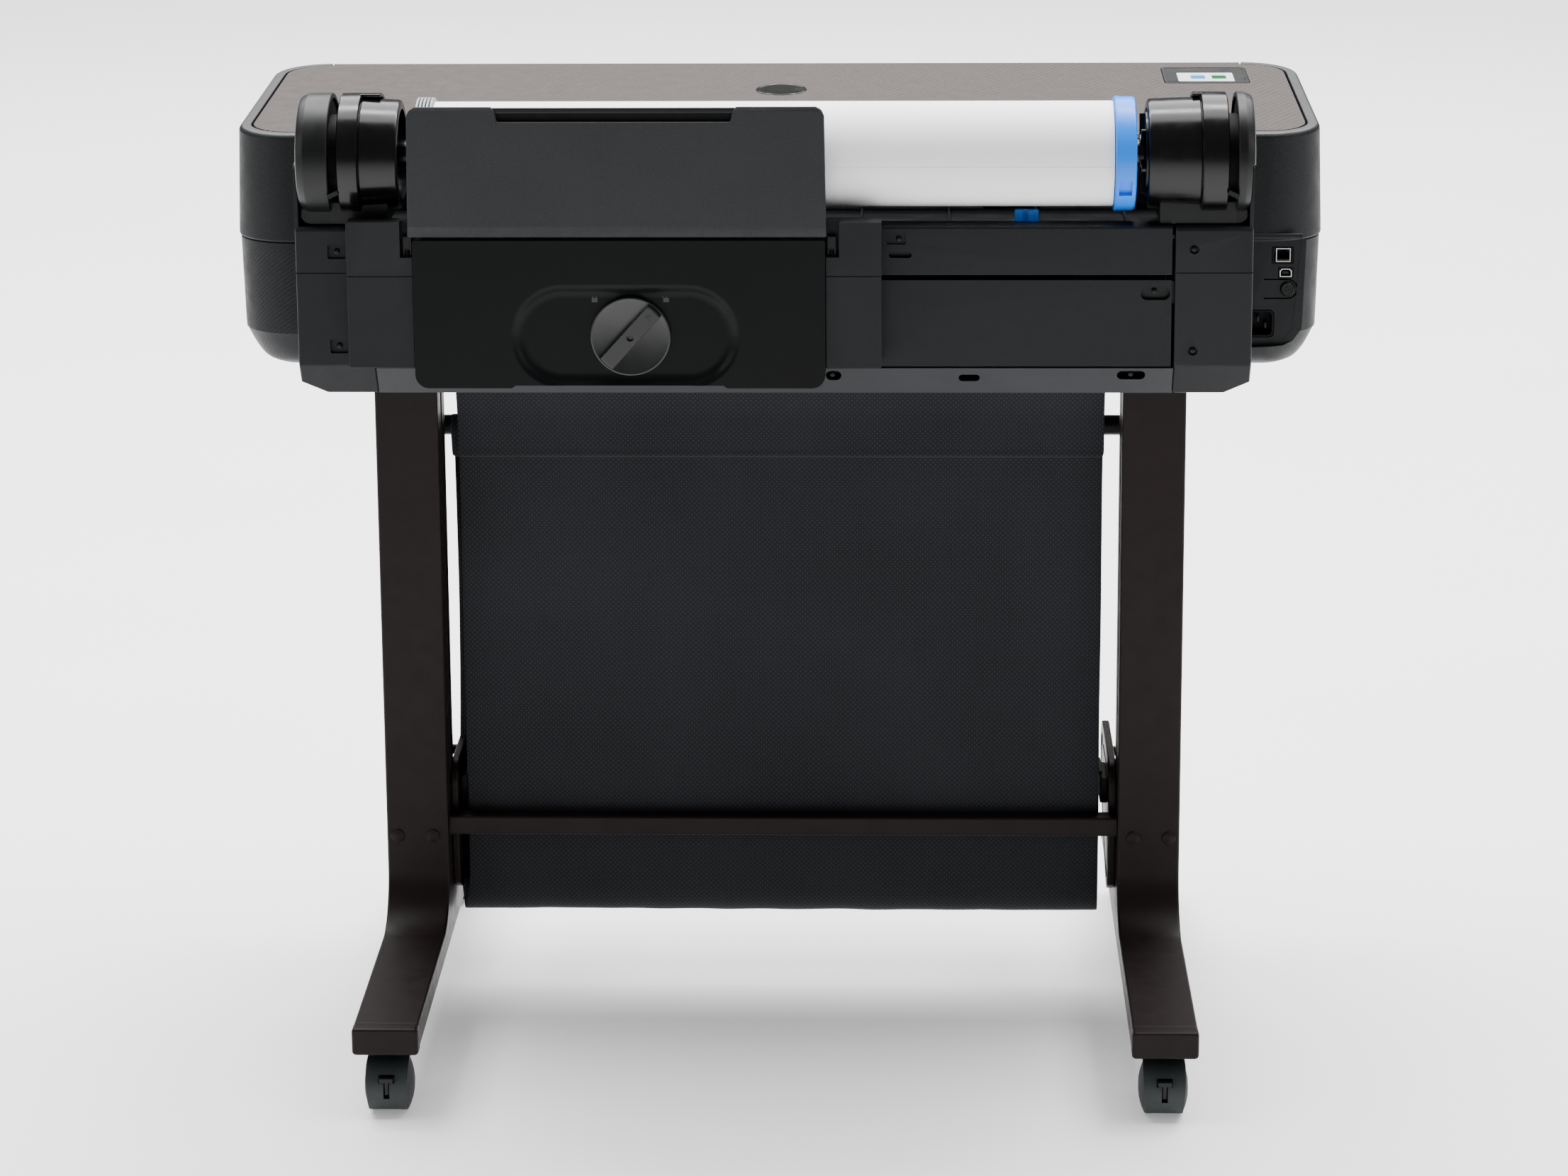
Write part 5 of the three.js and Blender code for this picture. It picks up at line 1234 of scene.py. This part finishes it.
def caster(end, key):
    low, high = box_of(f"caster_wheels_{key}")
    x = (low[0] + high[0]) / 2
    axle_y = (low[1] + high[1]) / 2
    axle_z = (low[2] + high[2]) / 2
    wheel_r = axle_z
    swivel_y = axle_y - end * 15
    half = [(22.6, 0), (22.6, 4), (22.2, 9), (21.2, 14), (19.6, 19), (18, 22.6), (17, 24.3),
            (15.8, wheel_r - 0.15),
            (11, wheel_r - 0.15), (9.6, 24.4), (8.4, 23), (8.4, 4)]
    profile = [(x - a, r) for a, r in half] + [(x + a, r) for a, r in reversed(half)]
    piece(f"caster_tyres_{key}", lathe(profile, "x", axle_y, axle_z, 72), f"caster_wheels_{key}", "rubber",
          replaces=f"caster_wheels_{key}")

    def bowed(r0, r1, width, from_deg, to_deg, bulge, steps=26):
        """A strip round the wheels whose sides bow out in the middle."""
        rings = []
        for i in range(steps + 1):
            t = i / steps
            a = radians(from_deg + (to_deg - from_deg) * t)
            w = width + bulge * sin(pi * t)
            rings.append([(x + sx * w, axle_y + end * r * cos(a), axle_z + r * sin(a)) for sx, r in
                          ((-1, r0), (1, r0), (1, r1), (-1, r1))])
        return loft(rings, bevel=0.7)
    cover = bowed(wheel_r + 1.0, 28, 17.0, -40, 142, 2.6)
    web = bowed(4, 27.2, 7.6, -34, 150, 0)
    tab_low, tab_high = box_of(f"caster_brake_{key}")
    y_pair = sorted((axle_y + end * 12, axle_y + end * 34))
    far_pair = sorted((axle_y + end * 22, axle_y + end * 34))

    def slots():
        return [block(x - 2.6, x + 2.6, *y_pair, 20, 38), block(x - 7.2, x + 7.2, *far_pair, 34.6, 41.4)]

    neck = rod("z", 9, 46, FOOT_BASE - 0.5, x, swivel_y, 0.8)
    plate = lathe([(50.5, 0), (50.5, 14), (52, 17.5), (FOOT_BASE - 1.2, 19), (FOOT_BASE - 0.5, 18.6),
                   (FOOT_BASE - 0.5, 0)], "z", x, swivel_y, 64)
    piece(f"caster_cover_{key}", merge(boolean(cover, slots()), neck, plate), f"caster_{key}",
          "dark_plastic", look=HOOD_LOOK, replaces=f"caster_hood_{key}", edge=0.3)
    axle = rod("x", 3.8, x - 9, x + 9, axle_y, axle_z, 0.5)
    piece(f"caster_web_{key}", merge(boolean(web, slots()), axle), f"caster_{key}", "dark_plastic", edge=0.3)
    bar = block(x - 6.4, x + 6.4, tab_low[1] + 0.1, tab_high[1] - 0.1, 35.6, 40.4, 0.9)
    fins = [block(x - 5.8, x + 5.8, *sorted((tab_high[1] - 0.3, tab_high[1]) if end > 0 else
                                                              (tab_low[1], tab_low[1] + 0.3)), z, z + 1.0,
                  0.1)
            for z in (36.4, 38.6)]
    stem = block(x - 1.8, x + 1.8, *sorted((axle_y + end * 24, axle_y + end * 26.4)), 23, 38, 0.6)
    piece(f"caster_tab_{key}", merge(bar, stem, *fins), f"caster_brake_{key}", "dark_plastic",
          replaces=f"caster_brake_{key}")


# ---- Basket -----------------------------------------------------------------------------------

REAR_BAR_LOW, REAR_BAR_HIGH = box_of("basket_rear_bar")
FRONT_BAR_LOW, FRONT_BAR_HIGH = box_of("basket_front_bar")
REAR_BAR = ((REAR_BAR_LOW[1] + REAR_BAR_HIGH[1]) / 2, (REAR_BAR_LOW[2] + REAR_BAR_HIGH[2]) / 2)
FRONT_BAR = ((FRONT_BAR_LOW[1] + FRONT_BAR_HIGH[1]) / 2, (FRONT_BAR_LOW[2] + FRONT_BAR_HIGH[2]) / 2)
BAR_R = 10
CLOTH_HALF = 308
SLEEVE = 32
SEAM_LINE = 548
FRONT_EXTRA = 16


def basket_bars():
    x = REAR_BAR_HIGH[0]
    tube = rod("x", BAR_R - 0.2, -x, x, *REAR_BAR, 0.6, 48)
    collars = []
    for side in (1, -1):
        profile = [(x, 0), (x, 12.6), (x - 1, 13.4), (x - 4.4, 13.4), (x - 5.4, 12), (x - 5.4, BAR_R - 0.5)]
        collars.append(lathe([*[(side * a, r) for a, r in profile], (side * (x - 5.4), 0)], "x", *REAR_BAR,
                             48))
    piece("basket_rear_tube", merge(tube, *collars), BODY, "dark_plastic", replaces="basket_rear_bar")
    half = FRONT_BAR_HIGH[0]
    piece("basket_front_tube", rod("x", BAR_R - 0.2, -half, half, *FRONT_BAR, 0.6, 48), "basket_frame",
          "dark_plastic", replaces="basket_front_bar")
    for name, side in SIDES.items():
        low, high = box_of(f"basket_arm_{name}")
        dy, dz = FRONT_BAR[0] - PIVOT_Y, FRONT_BAR[1] - PIVOT_Z
        length = hypot(dy, dz)
        outline = [*arc(0, 0, 13, 155, 385, 14), (8, 34), (7.6, length - 34),
                   *arc(0, length, 15, -28, 208, 16),
                   (-7.6, length - 34), (-8, 34)]
        arm = prism(outline, "x", low[0], high[0], bevel=1.0, steps=3)
        arm = boolean(arm, [rod("x", 5.2, low[0] - 2, high[0] + 2, 0, 0, 0.01)])
        turn(arm, -degrees(atan2(dy, dz)), "x", (0, 0, 0))
        shift(arm, y=PIVOT_Y, z=PIVOT_Z)
        piece(f"basket_side_arm_{name}", arm, "basket_frame", "dark_plastic", replaces=f"basket_arm_{name}")


def run_length(path):
    return sum((Vector(b) - Vector(a)).length for a, b in zip(path, path[1:]))


def resample(path, step):
    """Points evenly spaced along a 2-D run."""
    total = run_length(path)
    count = max(2, round(total / step))
    out, walked, k = [path[0]], 0.0, 0
    for i in range(1, count):
        goal = total * i / count
        while walked + (Vector(path[k + 1]) - Vector(path[k])).length < goal:
            walked += (Vector(path[k + 1]) - Vector(path[k])).length
            k += 1
        part = (goal - walked) / (Vector(path[k + 1]) - Vector(path[k])).length
        out.append(tuple(Vector(path[k]).lerp(Vector(path[k + 1]), part)))
    return [*out, path[-1]]


def basket_path():
    """The cloth's section in (y, z): hem, over the rear bar, down, round the fold, up, over the front bar."""
    ry, rz = REAR_BAR
    fy, fz = FRONT_BAR
    r = BAR_R + 1
    rear = [(ry - 1.2, SEAM_LINE - 2), (ry - 0.5, SEAM_LINE + 6), (ry + 1, 590), (ry + 9.5, rz - 12),
            *arc(ry, rz, r, -12, 192, 18), (ry - 9.5, rz - 12), (ry - 3.2, 590), (ry - 3.2, SEAM_LINE)]
    down = [(ry - 3.4, 440), (ry - 4.5, 300), (ry - 6, 180), (ry - 9, 116), (ry - 16, 89), (-36, 78.5),
            (-54, 81)]
    up = [(-68, 96), (-76, 126), (-92, 220), (-108, 320), (-116, 400), (-116, 480), (-113, 520)]
    front = [*arc(fy, fz, r, 190, -14, 18), (fy + 6, fz - 22), (fy + 2, fz - SLEEVE)]
    joined = catmull([*down, *up], 6)
    return resample([*catmull(rear, 2), *joined, *front], 7)


def basket_cloth():
    path = basket_path()
    columns = 88
    bm = bmesh.new()
    total = run_length(path)
    rows = []
    walked = 0.0
    for k, (y, z) in enumerate(path):
        if k:
            walked += (Vector(path[k]) - Vector(path[k - 1])).length
        before, after = Vector(path[max(k - 1, 0)]), Vector(path[min(k + 1, len(path) - 1)])
        along = (after - before).normalized()
        out = Vector((along.y, -along.x))
        t = walked / total
        free = min(1.0, max(0.0, (t - 0.09) / 0.1)) * min(1.0, max(0.0, (0.93 - t) / 0.12))
        sleeve = 1.0 if t < 0.075 or t > 0.95 else 0.0
        half = CLOTH_HALF + 0.6 * sleeve - 0.4 * free
        askew = FRONT_EXTRA * min(1.0, max(0.0, (t - 0.5) / 0.08))
        row = []
        for i in range(columns + 1):
            u = -1 + 2 * i / columns
            x = half * u + askew * (u + 1) / 2
            slow = noise.noise(Vector((x * 0.006, walked * 0.007, 3.1)))
            folds = noise.noise(Vector((x * 0.03, walked * 0.004, 9.4)))
            near_edge = max(0.0, abs(u) - 0.8) / 0.2
            lift = free * (1.6 * slow + 0.9 * folds + 1.8 * near_edge ** 2 * noise.noise(
                Vector((walked * 0.012, u, 1.7))))
            pinch = free * near_edge * 0.7 * noise.noise(Vector((walked * 0.01, 5.0 + u, 0.4)))
            row.append(bm.verts.new((x - pinch, y + out.x * lift, z + out.y * lift)))
        rows.append(row)
    for low, high in zip(rows, rows[1:]):
        for i in range(columns):
            bm.faces.new((low[i], low[i + 1], high[i + 1], high[i]))
    cloth = piece_without_ride("basket_sheet", bm, "cloth", "basket_cloth")
    thick = cloth.modifiers.new("thickness", "SOLIDIFY")
    thick.thickness = 0.9 * MM
    thick.offset = 0
    smooth = cloth.modifiers.new("smooth", "SUBSURF")
    smooth.levels = smooth.render_levels = 1
    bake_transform(cloth)
    basket_stitches()


def piece_without_ride(name, bm, slot, replaces):
    obj = to_object(name, bm, 180)
    obj.data.materials.append(LOOKS[slot])
    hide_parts(replaces)
    return obj


def basket_stitches():
    """Raised thread along the sleeve seam of the rear layer."""
    ry = REAR_BAR[0]
    count, margin, length = 150, 4, 2.6
    stitches = []
    for i in range(count):
        x = -CLOTH_HALF + margin + i * (2 * CLOTH_HALF - 2 * margin) / count
        stitches.append(block(x, x + length, ry + 1.4, ry + 1.9, SEAM_LINE + 2, SEAM_LINE + 2.6))
    piece("sleeve_stitches", merge(*stitches), BODY, "cloth", look=THREAD)


# ---- Inner works: the CAD solids stay, with finer finishes and a few added details ------------

def inner_works():
    looks = {
        "carriage_rail": (LOOKS["steel"], 0.6), "print_carriage": (LOOKS["dark_plastic"], 1.4),
        "carriage_belt": (LOOKS["rubber"], 0.0), "feed_roller": (LOOKS["grey_plastic"], 0.0),
        "pinch_rollers": (LOOKS["rubber"], 0.0), "platen": (LOOKS["dark_plastic"], 0.6),
        "main_board": (LOOKS["board"], 0.2), "power_supply": (LOOKS["steel"], 1.0),
        "ink_tanks": (LOOKS["dark_plastic"], 0.8),
    }
    for node, (look, edge) in looks.items():
        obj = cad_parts[node]
        for index in range(len(obj.material_slots)):
            obj.material_slots[index].material = look
        if edge:
            soften(obj, edge)
    low, high = box_of("print_carriage")
    cover = block(low[0] + 4, high[0] - 4, low[1] + 4, low[1] + 60, high[2] - 11, high[2] - 6, 1.6)
    cells = [block(low[0] + 8 + i * 24, low[0] + 28 + i * 24, low[1] + 10, low[1] + 50, high[2] - 7,
                   high[2] - 4, 1)
             for i in range(4)]
    piece("carriage_caps", merge(cover, *cells), "carriage", "dark_plastic")
    low, high = box_of("platen")
    ribs = [block(x - 1, x + 1, low[1] + 6, high[1] - 4, high[2] - 0.5, high[2] + 1.2, 0.3)
            for x in range(-320, 330, 20)]
    piece("platen_ribs", merge(*ribs), BODY, "dark_plastic")
    low, high = box_of("main_board")
    chips = [block(x, x + w, high[1], high[1] + h, z, z + w, 0.3) for x, z, w, h in
             ((-300, 690, 26, 2.2), (-260, 700, 18, 1.6), (-390, 684, 22, 1.8), (-340, 715, 14, 1.6),
              (-240, 730, 12, 3.0), (-420, 690, 16, 1.5))]
    cans = [rod("y", 4.5, high[1], high[1] + 14, x, 745, 0.6) for x in (-230, -250, -270)]
    piece("board_parts", merge(*chips, *cans), BODY, "dark_plastic")
    low, high = box_of("ink_tanks")
    labels = ("2b2c2e", "1d7fae", "a8316b", "c9a528")
    for i, colour in enumerate(labels):
        x = low[0] + 4.5 + i * 27
        tab = block(x, x + 15, low[1] - 0.6, low[1] + 0.4, low[2] + 30, low[2] + 50, 0.25)
        piece(f"ink_tab_{i + 1}", tab, BODY, "dark_plastic",
              look=plastic(f"ink_tab_{i + 1}", colour, 0.4).material)


def main():
    make_camera()
    make_studio()
    upper_casing()
    lower_casing()
    top_lid()
    display()
    sockets()
    cartridge_door()
    rear_panels()
    rear_chassis()
    paper_roll()
    spindle()
    flanges()
    guide_clip()
    feeder_body()
    feeder_flap()
    lock_knob()
    foot_caps()
    cross_brace()
    basket_bars()
    basket_cloth()
    inner_works()
    for name, side in SIDES.items():
        end_panel(side, name)
        roll_holder(side, name)
        feeder_bracket(name)
        leg(side, name)
        for end_name, end in ENDS.items():
            caster(end, f"{end_name}_{name}")


main()
